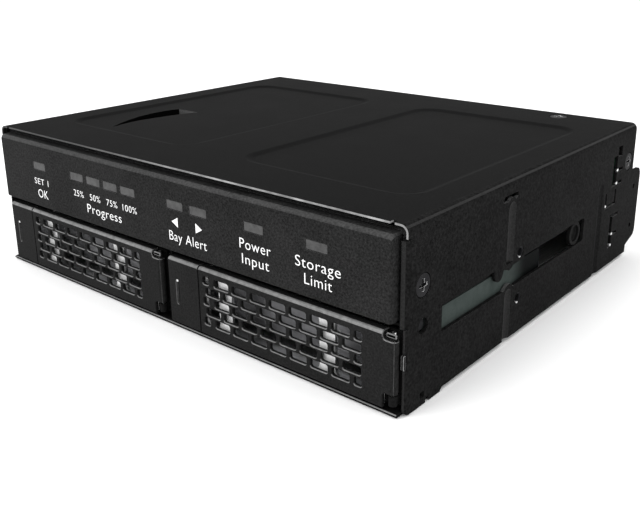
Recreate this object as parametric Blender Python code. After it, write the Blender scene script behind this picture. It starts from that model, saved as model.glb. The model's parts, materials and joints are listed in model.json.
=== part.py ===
"""Hot-swap module for two 2.5 inch drives, in the half-height 5.25 inch bay format.

The numbers in this file are millimetres, and MM turns them into Blender's metres.
X runs across the front from left to right, Y runs from front to rear and Z runs up.
Depths into the case are counted from the case's front edge, and at_depth gives their Y.
"""
import math

import bmesh
import bpy
from mathutils import Matrix, Vector

MM = 0.001
GAP = 0.3

# Outer case, folded from sheet
CASE_WIDTH = 146.0
CASE_HEIGHT = 41.3
CASE_DEPTH = 118.2
SHEET = 0.8
BEND_RADIUS = 1.8
BEZEL_LEAD = 2.0
EAR_LENGTH = 6.8
EAR_LOW, EAR_HIGH = 4.5, 26.8
EAR_CORNER = 2.5
LEG_BOTTOM = 0.0
LIP_END = 13.3
LIP_STEP = 0.85
OUTER_X = CASE_WIDTH / 2
INNER_X = OUTER_X - SHEET
FITTED_X = INNER_X - GAP
INNER_TOP = CASE_HEIGHT - SHEET
FRONT_Y = BEZEL_LEAD - (BEZEL_LEAD + CASE_DEPTH + EAR_LENGTH) / 2

# Panels pressed into the top: X of the right-hand one, depths and corner radius
PANEL_X = (9.0, 64.0)
PANEL_DEPTHS = (15.0, 101.0)
PANEL_CORNER = 5.0
PANEL_DROP = 0.5
PANEL_RIM = 0.8

# Side mounting holes of the half-height format
MOUNT_DEPTH = 47.4
MOUNT_HEIGHTS = (10.0, 21.84)
MOUNT_HOLE_RADIUS = 1.5
EAR_HOLE_DEPTH = 120.5
EAR_HOLE_HEIGHTS = (9.0, 21.5)
EAR_HOLE_RADIUS = 0.8
RIVET_HOLE = (6.0, 18.3)
RIVET_HOLE_RADIUS = 1.7

# Bays, trays and drives
BAY_PITCH = 72.0
SHELF_LOW, SHELF_HIGH = 19.4, 20.0
DIVIDER_X = (0.3, 1.1)
BAY_DEPTH = 109.0
TRAY_LOW, TRAY_HIGH = 1.5, 18.9
FLOOR_LOW, FLOOR_HIGH = 2.0, 2.5
DRIVE_X = (1.9, 71.75)
DRIVE_MIDDLE = sum(DRIVE_X) / 2
DRIVE_FRONT = 5.5
DRIVE_LENGTH = 100.2
DRIVE_SCREW_SPREAD = 61.72
DRIVE_SCREW_DEPTHS = (DRIVE_FRONT + DRIVE_LENGTH - 90.6, DRIVE_FRONT + DRIVE_LENGTH - 14.0)

# Door and its hinge, for the right-hand tray
DOOR_LEFT = 14.05
HINGE_X = 70.7
HINGE_DEPTH = -0.9
BARREL_RADIUS = 1.1
PIN_RADIUS = 0.5
PIN_HOLE_RADIUS = 0.6
BARREL_LOW, BARREL_HIGH = 5.1, 17.1
DOOR_NOTCH_X = 68.7
SKIN_DEPTHS = (-2.0, -1.0)
LATCH_X = (3.0, 13.75)
STEM_X, STEM_Z = 8.5, 10.0
STEM_RADIUS = 2.0
STEM_HOLE_RADIUS = 2.3
SPRING_RADII = (2.5, 3.3)

# Grille of each door
SLOT_ROWS = (14.8, 12.1, 9.5, 6.9, 4.3)
SLOT_HEIGHT = 2.0
SLOT_WIDTH = 4.9
SLOT_PITCH = 6.0
HALF_SLOT_WIDTH = 2.1
GRILLE_X = (15.5, 63.5)
GRILLE_MIDDLE = 39.8

# Front panel
BEZEL_Z = (20.4, 39.8)
BEZEL_BACK = 9.0
BEZEL_SKIN = 1.6
WINDOW_X = (-51.5, -33.5, -26.1, -18.8, -11.5, 6.7, 15.0, 33.2, 51.5)
WINDOW_MIDDLE_Z = 32.6
WINDOW_SIZE = (6.0, 2.3)
NOSE_SIZE = (5.8, 2.1)

# Circuit boards
BOARD = 1.6
CONTROLLER_Z = (24.0, 24.0 + BOARD)
CONTROLLER_DEPTHS = (22.0, 110.4)
BACKPLANE_DEPTHS = (111.0, 111.0 + BOARD)
CONNECTOR_SHIFT = -13.0
BOARD_SCREWS = ((-60.0, 30.0), (60.0, 30.0), (-60.0, 100.0), (60.0, 100.0))

# Ports, power inlet and mute button on the rear
HOST_PORT_X = (-34.0, -12.0)
POWER_X = 22.0
BUTTON_PLACE = (52.0, 30.0)
BUTTON_RADIUS = 2.0
PIN_PITCH = 5.08

# Countersunk screws in the case: depth and height on the sides, X and depth on the top
SIDE_SCREWS = {"front": (5.7, 27.3), "rear": (114.0, 30.5)}
TOP_SCREW = (50.5, 113.0)
SCREW_HEAD_RADIUS = 2.6
SCREW_SHANK_RADIUS = 1.3

BLACK_PAINT = ("black_paint", (0.022, 0.022, 0.023), 0.55, 0.0)
BLACK_PLASTIC = ("black_plastic", (0.02, 0.02, 0.021), 0.6, 0.0)
PLATED_STEEL = ("plated_steel", (0.75, 0.75, 0.74), 0.3, 1.0)
DARK_LENS = ("dark_lens", (0.09, 0.09, 0.088), 0.25, 0.0)
GREEN_BOARD = ("green_board", (0.01, 0.12, 0.045), 0.45, 0.0)
GREY_PLASTIC = ("grey_plastic", (0.075, 0.09, 0.086), 0.5, 0.0)
CAST_ALUMINIUM = ("cast_aluminium", (0.5, 0.5, 0.51), 0.4, 1.0)
DARK_CHIP = ("dark_chip", (0.015, 0.015, 0.016), 0.45, 0.0)
WHITE_RIBBON = ("white_ribbon", (0.75, 0.76, 0.76), 0.5, 0.0)


def at_depth(depth):
    """Y of a place that lies depth behind the case's front edge."""
    return FRONT_Y + depth


def depths(front, back):
    """The Y pair of a stretch between two depths."""
    return (at_depth(front), at_depth(back))


def mirrored(span):
    """The X span on the other side of the middle plane."""
    return (-span[1], -span[0])


def shifted(span, shift):
    """The span moved along by shift."""
    return (span[0] + shift, span[1] + shift)


def brick(x, y, z):
    """A box between three (low, high) pairs."""
    outline = [(x[0], y[0]), (x[1], y[0]), (x[1], y[1]), (x[0], y[1])]
    return prism(outline, "Z", z)


def prism(outline, axis, span):
    """A closed shell: the outline drawn across axis and carried along it over span.

    The outline's points are (y, z) for X, (x, z) for Y and (x, y) for Z.
    """
    place = {
        "X": lambda a, b, along: (along, a, b),
        "Y": lambda a, b, along: (a, along, b),
        "Z": lambda a, b, along: (a, b, along),
    }[axis]
    count = len(outline)
    points = [place(a, b, along) for along in span for a, b in outline]
    faces = [tuple(range(count)), tuple(range(2 * count - 1, count - 1, -1))]
    for low in range(count):
        high = (low + 1) % count
        faces.append((low, high, high + count, low + count))
    return points, faces


def arc(centre, radius, start, end, steps):
    """Points on an arc from the start angle to the end angle, in degrees."""
    angles = [math.radians(start + (end - start) * i / steps) for i in range(steps + 1)]
    return [(centre[0] + radius * math.cos(a), centre[1] + radius * math.sin(a)) for a in angles]


def rounded(a_span, b_span, radius, steps=4):
    """Outline of a rectangle with round corners."""
    low_a, high_a = a_span[0] + radius, a_span[1] - radius
    low_b, high_b = b_span[0] + radius, b_span[1] - radius
    return (
        arc((high_a, high_b), radius, 0, 90, steps)
        + arc((low_a, high_b), radius, 90, 180, steps)
        + arc((low_a, low_b), radius, 180, 270, steps)
        + arc((high_a, low_b), radius, 270, 360, steps)
    )


def rod(axis, centre, radius, span, sides=16):
    """A round bar along axis, whose centre is a pair as in prism."""
    return prism(arc(centre, radius, 0, 360 - 360 / sides, sides - 1), axis, span)


def cone(axis, centre, stations, sides=16):
    """A turned shell through (place along axis, radius) stations."""
    points = []
    faces = []
    for along, radius in stations:
        ring, _ = rod(axis, centre, radius, (along, along), sides)
        points += ring[:sides]
    for step in range(len(stations) - 1):
        for low in range(sides):
            high = (low + 1) % sides
            base = step * sides
            faces.append((base + low, base + high, base + sides + high, base + sides + low))
    faces.append(tuple(range(sides)))
    faces.append(tuple(range(len(points) - 1, len(points) - sides - 1, -1)))
    return points, faces


def finish(spec):
    """The Blender material of a finish, made once."""
    name, colour, roughness, metallic = spec
    material = bpy.data.materials.get(name)
    if material is None:
        material = bpy.data.materials.new(name)
        material.use_nodes = True
        shader = material.node_tree.nodes["Principled BSDF"]
        shader.inputs["Base Color"].default_value = (*colour, 1.0)
        shader.inputs["Roughness"].default_value = roughness
        shader.inputs["Metallic"].default_value = metallic
    return material


def make_object(name, shells, soften=None):
    """An object from closed shells, with its origin at the middle of its box."""
    bm = bmesh.new()
    for points, faces in shells:
        verts = [bm.verts.new([value * MM for value in point]) for point in points]
        for face in faces:
            bm.faces.new([verts[i] for i in face])
    bmesh.ops.recalc_face_normals(bm, faces=bm.faces)
    if soften:
        choose, radius, steps = soften
        edges = [edge for edge in bm.edges if choose(edge)]
        bmesh.ops.bevel(
            bm, geom=edges, offset=radius * MM, segments=steps, profile=0.5, affect="EDGES", clamp_overlap=True
        )
    corners = [[function(v.co[i] for v in bm.verts) for i in range(3)] for function in (min, max)]
    middle = (Vector(corners[0]) + Vector(corners[1])) / 2
    bmesh.ops.translate(bm, verts=bm.verts, vec=-middle)
    mesh = bpy.data.meshes.new(name)
    bm.to_mesh(mesh)
    bm.free()
    mesh.shade_smooth()
    mesh.set_sharp_from_angle(angle=math.radians(35))
    obj = bpy.data.objects.new(name, mesh)
    obj.location = middle
    bpy.context.collection.objects.link(obj)
    return obj


def attach(obj, parent, parent_place):
    """Parents obj to an object that stands at parent_place, and leaves obj where it is."""
    obj.parent = parent
    obj.matrix_parent_inverse = Matrix.Translation(parent_place).inverted()


def apply_tool(target, name, shells, operation):
    """Adds or cuts the shells, by a Boolean modifier with a hidden object."""
    tool = make_object(name, shells)
    tool.hide_render = True
    tool.display_type = "WIRE"
    attach(tool, target, target.location.copy())
    modifier = target.modifiers.new(name, "BOOLEAN")
    modifier.operation = operation
    modifier.object = tool


def piece(name, look, base, add=(), cut=(), soften=None, mover=None):
    """One sub-part: a base shell, shells joined to it one by one, then shells cut from it."""
    obj = make_object(name, [base], soften)
    obj.data.materials.append(finish(look))
    for number, shell in enumerate(add, 1):
        apply_tool(obj, f"{name}_join_{number}", [shell], "UNION")
    if cut:
        apply_tool(obj, f"{name}_cut", list(cut), "DIFFERENCE")
    if mover:
        attach(obj, mover, mover.location.copy())
    return obj


def joint_empty(name, x, depth, z, parent=None):
    """An empty on a joint's axis, which the moving pieces hang from."""
    empty = bpy.data.objects.new(name, None)
    empty.location = Vector((x, at_depth(depth), z)) * MM
    bpy.context.collection.objects.link(empty)
    if parent:
        attach(empty, parent, parent.location.copy())
    return empty


def front_edges(edge):
    """Edges round a face that looks straight ahead, for rounding."""
    return any(face.normal.y < -0.9 for face in edge.link_faces)


def case_section():
    """Outline of the folded case: top and two legs, open below."""
    corner_x = OUTER_X - BEND_RADIUS
    corner_z = CASE_HEIGHT - BEND_RADIUS
    inner_radius = BEND_RADIUS - SHEET
    outside = arc((corner_x, corner_z), BEND_RADIUS, 0, 90, 5)
    inside = arc((corner_x, corner_z), inner_radius, 90, 0, 4)
    right = [(OUTER_X, LEG_BOTTOM)] + outside
    inner_right = inside + [(INNER_X, LEG_BOTTOM)]
    left = [(-x, z) for x, z in reversed(right)]
    inner_left = [(-x, z) for x, z in reversed(inner_right)]
    return right + left + inner_left + inner_right


def long_side_slot():
    """Outline of the long slot in each side, with the stops that hang into it."""
    points = [
        (13.0, 14.2), (39.8, 14.2), (40.8, 15.2), (43.6, 15.2), (44.6, 14.2), (84.5, 14.2),
        (84.5, 20.8), (50.0, 20.8), (49.4, 19.9), (45.0, 19.7), (39.5, 19.7), (39.1, 18.6),
        (38.4, 18.0), (36.2, 18.0), (35.4, 18.6), (34.9, 20.8), (13.0, 20.8),
    ]
    return [(at_depth(depth), z) for depth, z in points]


def hook_slots():
    """Outlines of the lanced hooks near the rear of each side."""
    square = [(105.5, 33.5), (108.5, 33.5), (108.5, 36.5), (105.5, 36.5)]
    fork = [
        (102.6, 25.1), (109.8, 25.1), (109.8, 26.1), (105.4, 26.1), (105.4, 29.0), (109.8, 29.0),
        (109.8, 30.0), (105.4, 30.0), (105.4, 34.0), (102.6, 34.0),
    ]
    hoop = [
        (98.5, 24.0), (98.5, 19.3), (106.3, 19.3), (106.3, 24.0), (105.3, 24.0), (105.3, 20.3),
        (99.5, 20.3), (99.5, 24.0),
    ]
    clamp = [
        (103.5, 9.6), (109.5, 9.6), (109.5, 10.5), (105.5, 10.5), (105.5, 15.4), (109.5, 15.4),
        (109.5, 16.3), (103.5, 16.3),
    ]
    return [[(at_depth(depth), z) for depth, z in outline] for outline in (square, fork, hoop, clamp)]


def lip_cuts():
    """Outlines cut from the foot of each side: the notch, the rounded toe and the step up."""
    radius = 1.5
    notch = [(7.6, -1.0), (8.9, -1.0), (8.9, 1.1), (7.6, 1.1)]
    toe = [(-1.0, -1.0), (radius, -1.0), *arc((radius, radius), radius, 270, 180, 4), (-1.0, radius)]
    step = [
        (LIP_END, -1.0), (CASE_DEPTH + EAR_LENGTH + 1, -1.0), (CASE_DEPTH + EAR_LENGTH + 1, LIP_STEP),
        (LIP_END, LIP_STEP),
    ]
    return [[(at_depth(depth), z) for depth, z in outline] for outline in (notch, toe, step)]


def ear_cuts():
    """Outlines cut from each side behind the rear wall, above and below the ear."""
    end_y = depths(CASE_DEPTH, CASE_DEPTH + EAR_LENGTH + 1)
    ear_end = at_depth(CASE_DEPTH + EAR_LENGTH)
    slope = 2.2
    above = [(end_y[0], CASE_HEIGHT + 1), (end_y[0], EAR_HIGH)]
    above += arc((ear_end - EAR_CORNER, EAR_HIGH - EAR_CORNER), EAR_CORNER, 90, 0, 4)
    above += [(end_y[1], EAR_HIGH - EAR_CORNER), (end_y[1], CASE_HEIGHT + 1)]
    below = [(end_y[0], 0.0), (end_y[1], 0.0), (end_y[1], EAR_LOW + EAR_CORNER)]
    below += arc((ear_end - EAR_CORNER, EAR_LOW + EAR_CORNER), EAR_CORNER, 0, -60, 4)
    below += [(end_y[0], EAR_LOW - slope)]
    return [above, below]


def outer_shell():
    """Folded case: top with two pressed panels, sides with slots and holes, ears at the rear."""
    through = (-OUTER_X - 1, OUTER_X + 1)
    rim_depths = depths(PANEL_DEPTHS[0] - PANEL_RIM, PANEL_DEPTHS[1] + PANEL_RIM)
    rims, sinks = [], []
    for x in (PANEL_X, mirrored(PANEL_X)):
        rim = rounded((x[0] - PANEL_RIM, x[1] + PANEL_RIM), rim_depths, PANEL_CORNER + PANEL_RIM)
        rims.append(prism(rim, "Z", (INNER_TOP - PANEL_DROP, INNER_TOP + 0.4)))
        sink = rounded(x, depths(*PANEL_DEPTHS), PANEL_CORNER)
        sinks.append(prism(sink, "Z", (CASE_HEIGHT - PANEL_DROP, CASE_HEIGHT + 1)))
    lance = [(at_depth(depth), z) for depth, z in ((37.5, 36.4), (44.5, 36.4), (44.5, 37.6), (37.5, 37.6))]
    outlines = [*ear_cuts(), long_side_slot(), *hook_slots(), lance]
    cuts = [prism(outline, "X", through) for outline in outlines]
    cuts += [rod("X", (at_depth(MOUNT_DEPTH), z), MOUNT_HOLE_RADIUS, through) for z in MOUNT_HEIGHTS]
    cuts += [rod("X", (at_depth(EAR_HOLE_DEPTH), z), EAR_HOLE_RADIUS, through, 10) for z in EAR_HOLE_HEIGHTS]
    cuts.append(rod("X", (at_depth(RIVET_HOLE[0]), RIVET_HOLE[1]), RIVET_HOLE_RADIUS, through, 12))
    for depth, z in SIDE_SCREWS.values():
        cuts.append(rod("X", (at_depth(depth), z), SCREW_HEAD_RADIUS + 0.1, through))
    top_hole = (TOP_SCREW[0], at_depth(TOP_SCREW[1]))
    cuts.append(rod("Z", top_hole, SCREW_HEAD_RADIUS + 0.1, (INNER_TOP - 1, CASE_HEIGHT + 1)))
    section = prism(case_section(), "Y", depths(0.0, CASE_DEPTH + EAR_LENGTH))
    obj = piece("outer_shell", BLACK_PAINT, section, rims, cuts + sinks)
    lip_shells = [prism(outline, "X", through) for outline in lip_cuts()]
    apply_tool(obj, "outer_shell_lip", lip_shells, "DIFFERENCE")


def bottom_plate():
    """Flat bottom with two upright tabs at its rear corners."""
    base = brick((-FITTED_X, FITTED_X), depths(0.2, 117.1), (0.0, SHEET))
    tab = (FITTED_X - SHEET, FITTED_X)
    tabs = [brick(x, depths(113.0, 117.1), (0.2, 6.0)) for x in (tab, mirrored(tab))]
    piece("bottom_plate", BLACK_PAINT, base, tabs)


def rear_panel():
    """Rear wall with flanges, port openings and air slots."""
    height = (1.1, INNER_TOP - GAP)
    base = brick((-FITTED_X, FITTED_X), depths(CASE_DEPTH - SHEET, CASE_DEPTH), height)
    flange = (FITTED_X - SHEET, FITTED_X)
    adds = [brick(x, depths(112.9, CASE_DEPTH - 0.2), (10.0, 38.0)) for x in (flange, mirrored(flange))]
    adds.append(brick((-60.0, 60.0), depths(109.5, CASE_DEPTH - 0.2), (height[1] - SHEET, height[1])))
    cuts = [brick(shifted((-8.2, 8.2), x), depths(117, 119), (26.4, 33.6)) for x in HOST_PORT_X]
    cuts.append(brick(shifted((-12.2, 12.2), POWER_X), depths(117, 119), (25.4, 34.6)))
    cuts.append(rod("Y", BUTTON_PLACE, BUTTON_RADIUS + GAP, depths(117, 119)))
    for side in (-1, 1):
        for column in range(8):
            x = side * (12.0 + 6.5 * column)
            cuts.append(brick((x - 1.4, x + 1.4), depths(117, 119), (4.0, 18.0)))
    screw_depth, screw_z = SIDE_SCREWS["rear"]
    cuts.append(rod("X", (at_depth(screw_depth), screw_z), 1.6, (-OUTER_X, OUTER_X), 12))
    cuts.append(rod("Z", (TOP_SCREW[0], at_depth(TOP_SCREW[1])), 1.6, (38.0, 41.0), 12))
    piece("rear_panel", BLACK_PAINT, base, adds, cuts)


def front_bezel():
    """Moulded front panel, open behind, with a window for each indicator."""
    base = brick((-FITTED_X, FITTED_X), depths(-BEZEL_LEAD, BEZEL_BACK), BEZEL_Z)
    skin_back = BEZEL_SKIN - BEZEL_LEAD
    wall = 1.8
    inside_x = FITTED_X - 2.5
    inside_z = (BEZEL_Z[0] + wall, BEZEL_Z[1] - wall)
    hollow = brick((-inside_x, inside_x), depths(skin_back, BEZEL_BACK + 1), inside_z)
    half_x, half_z = WINDOW_SIZE[0] / 2, WINDOW_SIZE[1] / 2
    window_z = (WINDOW_MIDDLE_Z - half_z, WINDOW_MIDDLE_Z + half_z)
    window_depths = depths(-BEZEL_LEAD - 1, skin_back + 0.5)
    windows = [brick((x - half_x, x + half_x), window_depths, window_z) for x in WINDOW_X]
    depth, z = SIDE_SCREWS["front"]
    ends = (inside_x - 0.5, OUTER_X)
    screw_holes = [rod("X", (at_depth(depth), z), 1.6, span, 12) for span in (ends, mirrored(ends))]
    obj = piece("front_bezel", BLACK_PLASTIC, base, cut=[hollow], soften=(front_edges, 1.3, 3))
    apply_tool(obj, "front_bezel_windows", windows, "DIFFERENCE")
    apply_tool(obj, "front_bezel_screw_holes", screw_holes, "DIFFERENCE")


def light_pipe():
    """Dark clear bar behind the bezel, with a nose in each window."""
    base = brick((-56.0, 56.0), depths(0.0, 1.8), (30.6, 34.9))
    half_x, half_z = NOSE_SIZE[0] / 2, NOSE_SIZE[1] / 2
    nose_z = (WINDOW_MIDDLE_Z - half_z, WINDOW_MIDDLE_Z + half_z)
    noses = [brick((x - half_x, x + half_x), depths(-BEZEL_LEAD, 0.5), nose_z) for x in WINDOW_X]
    piece("light_pipe", DARK_LENS, base, noses)


def led_board():
    """Board behind the light pipe, with a lamp behind each nose."""
    base = brick((-62.0, 62.0), depths(3.6, 3.6 + BOARD), (24.0, 37.0))
    lamp_z = (WINDOW_MIDDLE_Z - 0.8, WINDOW_MIDDLE_Z + 0.8)
    lamps = [brick((x - 1.6, x + 1.6), depths(2.2, 4.0), lamp_z) for x in WINDOW_X]
    piece("led_board", GREEN_BOARD, base, lamps)


def led_cable():
    """Flat cable that drops from the indicator board to the controller board."""
    steps = 8
    lower = []
    for step in range(steps + 1):
        share = step / steps
        ease = share * share * (3 - 2 * share)
        lower.append((at_depth(5.6 + 20.0 * share), 31.0 - 5.0 * ease))
    upper = [(y, z + 0.6) for y, z in reversed(lower)]
    piece("led_cable", WHITE_RIBBON, prism(lower + upper, "X", (18.0, 36.0)))


def shelf():
    """Sheet over the bays, with four posts for the controller board."""
    base = brick((-FITTED_X, FITTED_X), depths(1.0, BAY_DEPTH), (SHELF_LOW, SHELF_HIGH))
    post_z = (SHELF_HIGH - 0.3, CONTROLLER_Z[0] - GAP)
    hole_z = (SHELF_HIGH, CONTROLLER_Z[0] + 1)
    posts = [rod("Z", (x, at_depth(depth)), 2.6, post_z, 12) for x, depth in BOARD_SCREWS]
    holes = [rod("Z", (x, at_depth(depth)), 1.4, hole_z, 12) for x, depth in BOARD_SCREWS]
    piece("middle_shelf", BLACK_PAINT, base, posts, holes)


def bay_divider():
    """Upright sheet between the two bays, with a foot."""
    foot_edge = 2.6
    section = [
        (DIVIDER_X[0], 1.1), (foot_edge, 1.1), (foot_edge, 1.6), (DIVIDER_X[1], 1.6),
        (DIVIDER_X[1], SHELF_LOW - GAP), (DIVIDER_X[0], SHELF_LOW - GAP),
    ]
    piece("bay_divider", BLACK_PAINT, prism(section, "Y", depths(1.0, BAY_DEPTH)))


def guide_rails():
    """Rails over the edges of each drive, which keep it level as it slides."""
    spans = {
        "guide_rail_left_outer": (-FITTED_X, -68.5),
        "guide_rail_left_inner": (-3.0, 0.0),
        "guide_rail_right_inner": (1.4, 4.6),
        "guide_rail_right_outer": (68.5, FITTED_X),
    }
    for name, x in spans.items():
        base = brick(x, depths(10.0, 60.0), (13.9, SHELF_LOW - GAP))
        piece(name, GREY_PLASTIC, base)


def controller_board():
    """Main board over the shelf, with the parts that it carries."""
    hole_z = (CONTROLLER_Z[0] - 1, CONTROLLER_Z[1] + 1)
    holes = [rod("Z", (x, at_depth(depth)), 1.7, hole_z, 12) for x, depth in BOARD_SCREWS]
    base = brick((-66.0, 66.0), depths(*CONTROLLER_DEPTHS), CONTROLLER_Z)
    piece("controller_board", GREEN_BOARD, base, cut=holes)
    top = CONTROLLER_Z[1] + GAP
    piece("controller_chip", DARK_CHIP, brick((-12.0, 12.0), depths(50.0, 74.0), (top, top + 1.6)))
    fin_pitch, fin_count, fin_width = 3.6, 8, 1.2
    sink_low = top + 1.6 + GAP
    section = [(-13.2, sink_low), (13.2, sink_low)]
    for fin in range(fin_count):
        right = 13.2 - fin * fin_pitch
        left = right - fin_width
        section += [(right, sink_low + 8.0), (left, sink_low + 8.0)]
        if fin < fin_count - 1:
            section += [(left, sink_low + 1.5), (right - fin_pitch, sink_low + 1.5)]
    piece("heat_sink", CAST_ALUMINIUM, prism(section, "Y", depths(49.0, 75.0)))
    piece("capacitor", DARK_CHIP, rod("Z", (34.0, at_depth(94.0)), 4.0, (top, top + 9.0)))
    buzzer_place = (-42.0, at_depth(60.0))
    sound_hole = rod("Z", buzzer_place, 1.0, (top + 5.0, top + 8.0), 8)
    piece("buzzer", DARK_CHIP, rod("Z", buzzer_place, 6.0, (top, top + 7.0), 24), cut=[sound_hole])
    piece("board_link", BLACK_PLASTIC, brick((-22.0, 22.0), depths(104.0, 110.7), (top, top + 5.0)))
    for number, (x, depth) in enumerate(BOARD_SCREWS, 1):
        stations = [(21.0, 1.2), (top - 0.2, 1.2), (top - 0.2, 2.7), (top + 1.4, 2.2)]
        piece(f"board_screw_{number}", PLATED_STEEL, cone("Z", (x, at_depth(depth)), stations, 12))


def backplane():
    """Upright board at the back of the bays, with its connectors and the mute button."""
    base = brick((-70.6, 70.6), depths(*BACKPLANE_DEPTHS), (1.2, 34.0))
    piece("backplane_board", GREEN_BOARD, base)
    port_depths = depths(BACKPLANE_DEPTHS[1] + GAP, CASE_DEPTH + 0.4)
    for letter, x in zip("ab", HOST_PORT_X):
        opening = brick(shifted((-5.4, 5.4), x), depths(115.0, CASE_DEPTH + 2), (28.8, 31.2))
        body = brick(shifted((-7.9, 7.9), x), port_depths, (26.7, 33.3))
        piece(f"host_port_{letter}", BLACK_PLASTIC, body, cut=[opening])
    inlet = brick(shifted((-11.9, 11.9), POWER_X), port_depths, (25.7, 34.3))
    socket = brick(shifted((-10.4, 10.4), POWER_X), depths(115.0, CASE_DEPTH + 2), (27.0, 33.0))
    pin_x = [POWER_X + PIN_PITCH * (number - 1.5) for number in range(4)]
    pins = [rod("Y", (x, 30.0), 0.9, depths(114.6, 116.3), 8) for x in pin_x]
    obj = piece("power_inlet", BLACK_PLASTIC, inlet, cut=[socket])
    for number, pin in enumerate(pins, 1):
        apply_tool(obj, f"power_inlet_pin_{number}", [pin], "UNION")
    button = rod("Y", BUTTON_PLACE, BUTTON_RADIUS, depths(114.6, CASE_DEPTH + 1.2))
    mover = joint_empty("mute_button_joint", BUTTON_PLACE[0], CASE_DEPTH, BUTTON_PLACE[1])
    piece("mute_button", BLACK_PLASTIC, button, mover=mover)


def case_screw(name, axis, centre, face, inward):
    """Countersunk screw whose head is flush with a face of the case."""
    stations = [
        (face, SCREW_HEAD_RADIUS),
        (face + inward * 1.0, SCREW_SHANK_RADIUS),
        (face + inward * 4.6, SCREW_SHANK_RADIUS),
    ]
    recess_arms = [(0.35, 1.3), (1.3, 0.35)]
    cuts = []
    for half_a, half_b in recess_arms:
        span = sorted((face + inward * 0.6, face - inward * 1.0))
        outline = [(-half_a, -half_b), (half_a, -half_b), (half_a, half_b), (-half_a, half_b)]
        cuts.append(prism([(centre[0] + a, centre[1] + b) for a, b in outline], axis, span))
    obj = piece(name, PLATED_STEEL if axis == "Z" else BLACK_PAINT, cone(axis, centre, stations))
    for number, shell in enumerate(cuts, 1):
        apply_tool(obj, f"{name}_recess_{number}", [shell], "DIFFERENCE")


def case_screws():
    """The countersunk screws that hold the folded case."""
    for where, (depth, z) in SIDE_SCREWS.items():
        centre = (at_depth(depth), z)
        case_screw(f"side_screw_right_{where}", "X", centre, OUTER_X, -1)
        case_screw(f"side_screw_left_{where}", "X", centre, -OUTER_X, 1)
    case_screw("top_screw", "Z", (TOP_SCREW[0], at_depth(TOP_SCREW[1])), CASE_HEIGHT, -1)


def grille_slots(shift):
    """The staggered slots of one door."""
    slots = []
    slot_depths = depths(SKIN_DEPTHS[0] - 1, SKIN_DEPTHS[1] + 0.5)
    ends = (GRILLE_X[0] + HALF_SLOT_WIDTH / 2, GRILLE_X[1] - HALF_SLOT_WIDTH / 2)
    for row, low in enumerate(SLOT_ROWS):
        count = 8 if row % 2 else 7
        middles = [GRILLE_MIDDLE + SLOT_PITCH * (number - (count - 1) / 2) for number in range(count)]
        spans = [(x - SLOT_WIDTH / 2, x + SLOT_WIDTH / 2) for x in middles]
        if count == 7:
            spans += [(x - HALF_SLOT_WIDTH / 2, x + HALF_SLOT_WIDTH / 2) for x in ends]
        for span in spans:
            slots.append(brick(shifted(span, shift), slot_depths, (low, low + SLOT_HEIGHT)))
    return slots


def tray_pan(side, shift, mover):
    """Plated tray: floor, windowed front wall, hinge ears and latch bracket."""
    floor = brick(shifted((3.2, 71.2), shift), depths(0.9, 104.0), (FLOOR_LOW, FLOOR_HIGH))
    hinge = (HINGE_X + shift, at_depth(HINGE_DEPTH))
    adds = [
        brick(shifted((14.6, 69.0), shift), depths(-0.7, 1.4), (FLOOR_LOW, FLOOR_HIGH)),
        brick(shifted((14.6, 69.0), shift), depths(-0.7, 0.1), (2.2, 17.9)),
        brick(shifted((66.0, 68.9), shift), depths(-0.3, 1.2), (2.2, 17.9)),
        brick(shifted((68.5, 71.6), shift), depths(0.5, 1.2), (2.2, 18.8)),
        brick(shifted((4.5, 12.5), shift), depths(2.2, 2.8), (2.2, 15.0)),
    ]
    for low, high in ((2.5, 4.8), (17.3, 18.8)):
        adds.append(brick(shifted((69.6, 71.6), shift), depths(HINGE_DEPTH, 0.8), (low, high)))
        adds.append(rod("Z", hinge, BARREL_RADIUS, (low, high), 16))
    cuts = [
        brick(shifted(x, shift), depths(-2.0, 1.3), (3.9, 16.6))
        for x in ((15.8, 19.6), (24.0, 51.0), (55.4, 65.0))
    ]
    cuts.append(rod("Z", hinge, PIN_HOLE_RADIUS, (0.0, 20.0), 12))
    cuts.append(rod("Y", (STEM_X + shift, STEM_Z), STEM_HOLE_RADIUS, depths(2.0, 3.0)))
    for x, depth in drive_screw_places(shift):
        cuts.append(rod("Z", (x, at_depth(depth)), 1.7, (1.0, 3.5), 12))
    piece(f"tray_{side}", PLATED_STEEL, floor, adds, cuts, mover=mover)


def drive_screw_places(shift):
    """Places of the four screws under a drive."""
    half = DRIVE_SCREW_SPREAD / 2
    return [(DRIVE_MIDDLE + shift + sign * half, depth) for depth in DRIVE_SCREW_DEPTHS for sign in (-1, 1)]


def tray_door(side, shift, mover):
    """Grille door with a rolled top edge and a hinge barrel at its right-hand end."""
    outline = [
        (DOOR_LEFT, TRAY_LOW), (DOOR_NOTCH_X, TRAY_LOW), (DOOR_NOTCH_X, BARREL_LOW), (HINGE_X, BARREL_LOW),
        (HINGE_X, BARREL_HIGH), (DOOR_NOTCH_X, BARREL_HIGH), (DOOR_NOTCH_X, TRAY_HIGH), (DOOR_LEFT, TRAY_HIGH),
    ]
    skin = prism([(x + shift, z) for x, z in outline], "Y", depths(*SKIN_DEPTHS))
    hinge = (HINGE_X + shift, at_depth(HINGE_DEPTH))
    adds = [
        brick(shifted((DOOR_LEFT, 68.5), shift), depths(-1.5, 0.5), (18.2, TRAY_HIGH)),
        rod("Z", hinge, BARREL_RADIUS, (BARREL_LOW, BARREL_HIGH), 16),
    ]
    cuts = grille_slots(shift)
    cuts.append(rod("Z", hinge, PIN_HOLE_RADIUS, (BARREL_LOW - 1, BARREL_HIGH + 1), 12))
    piece(f"door_{side}", BLACK_PLASTIC, skin, adds, cuts, mover=mover)


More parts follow.
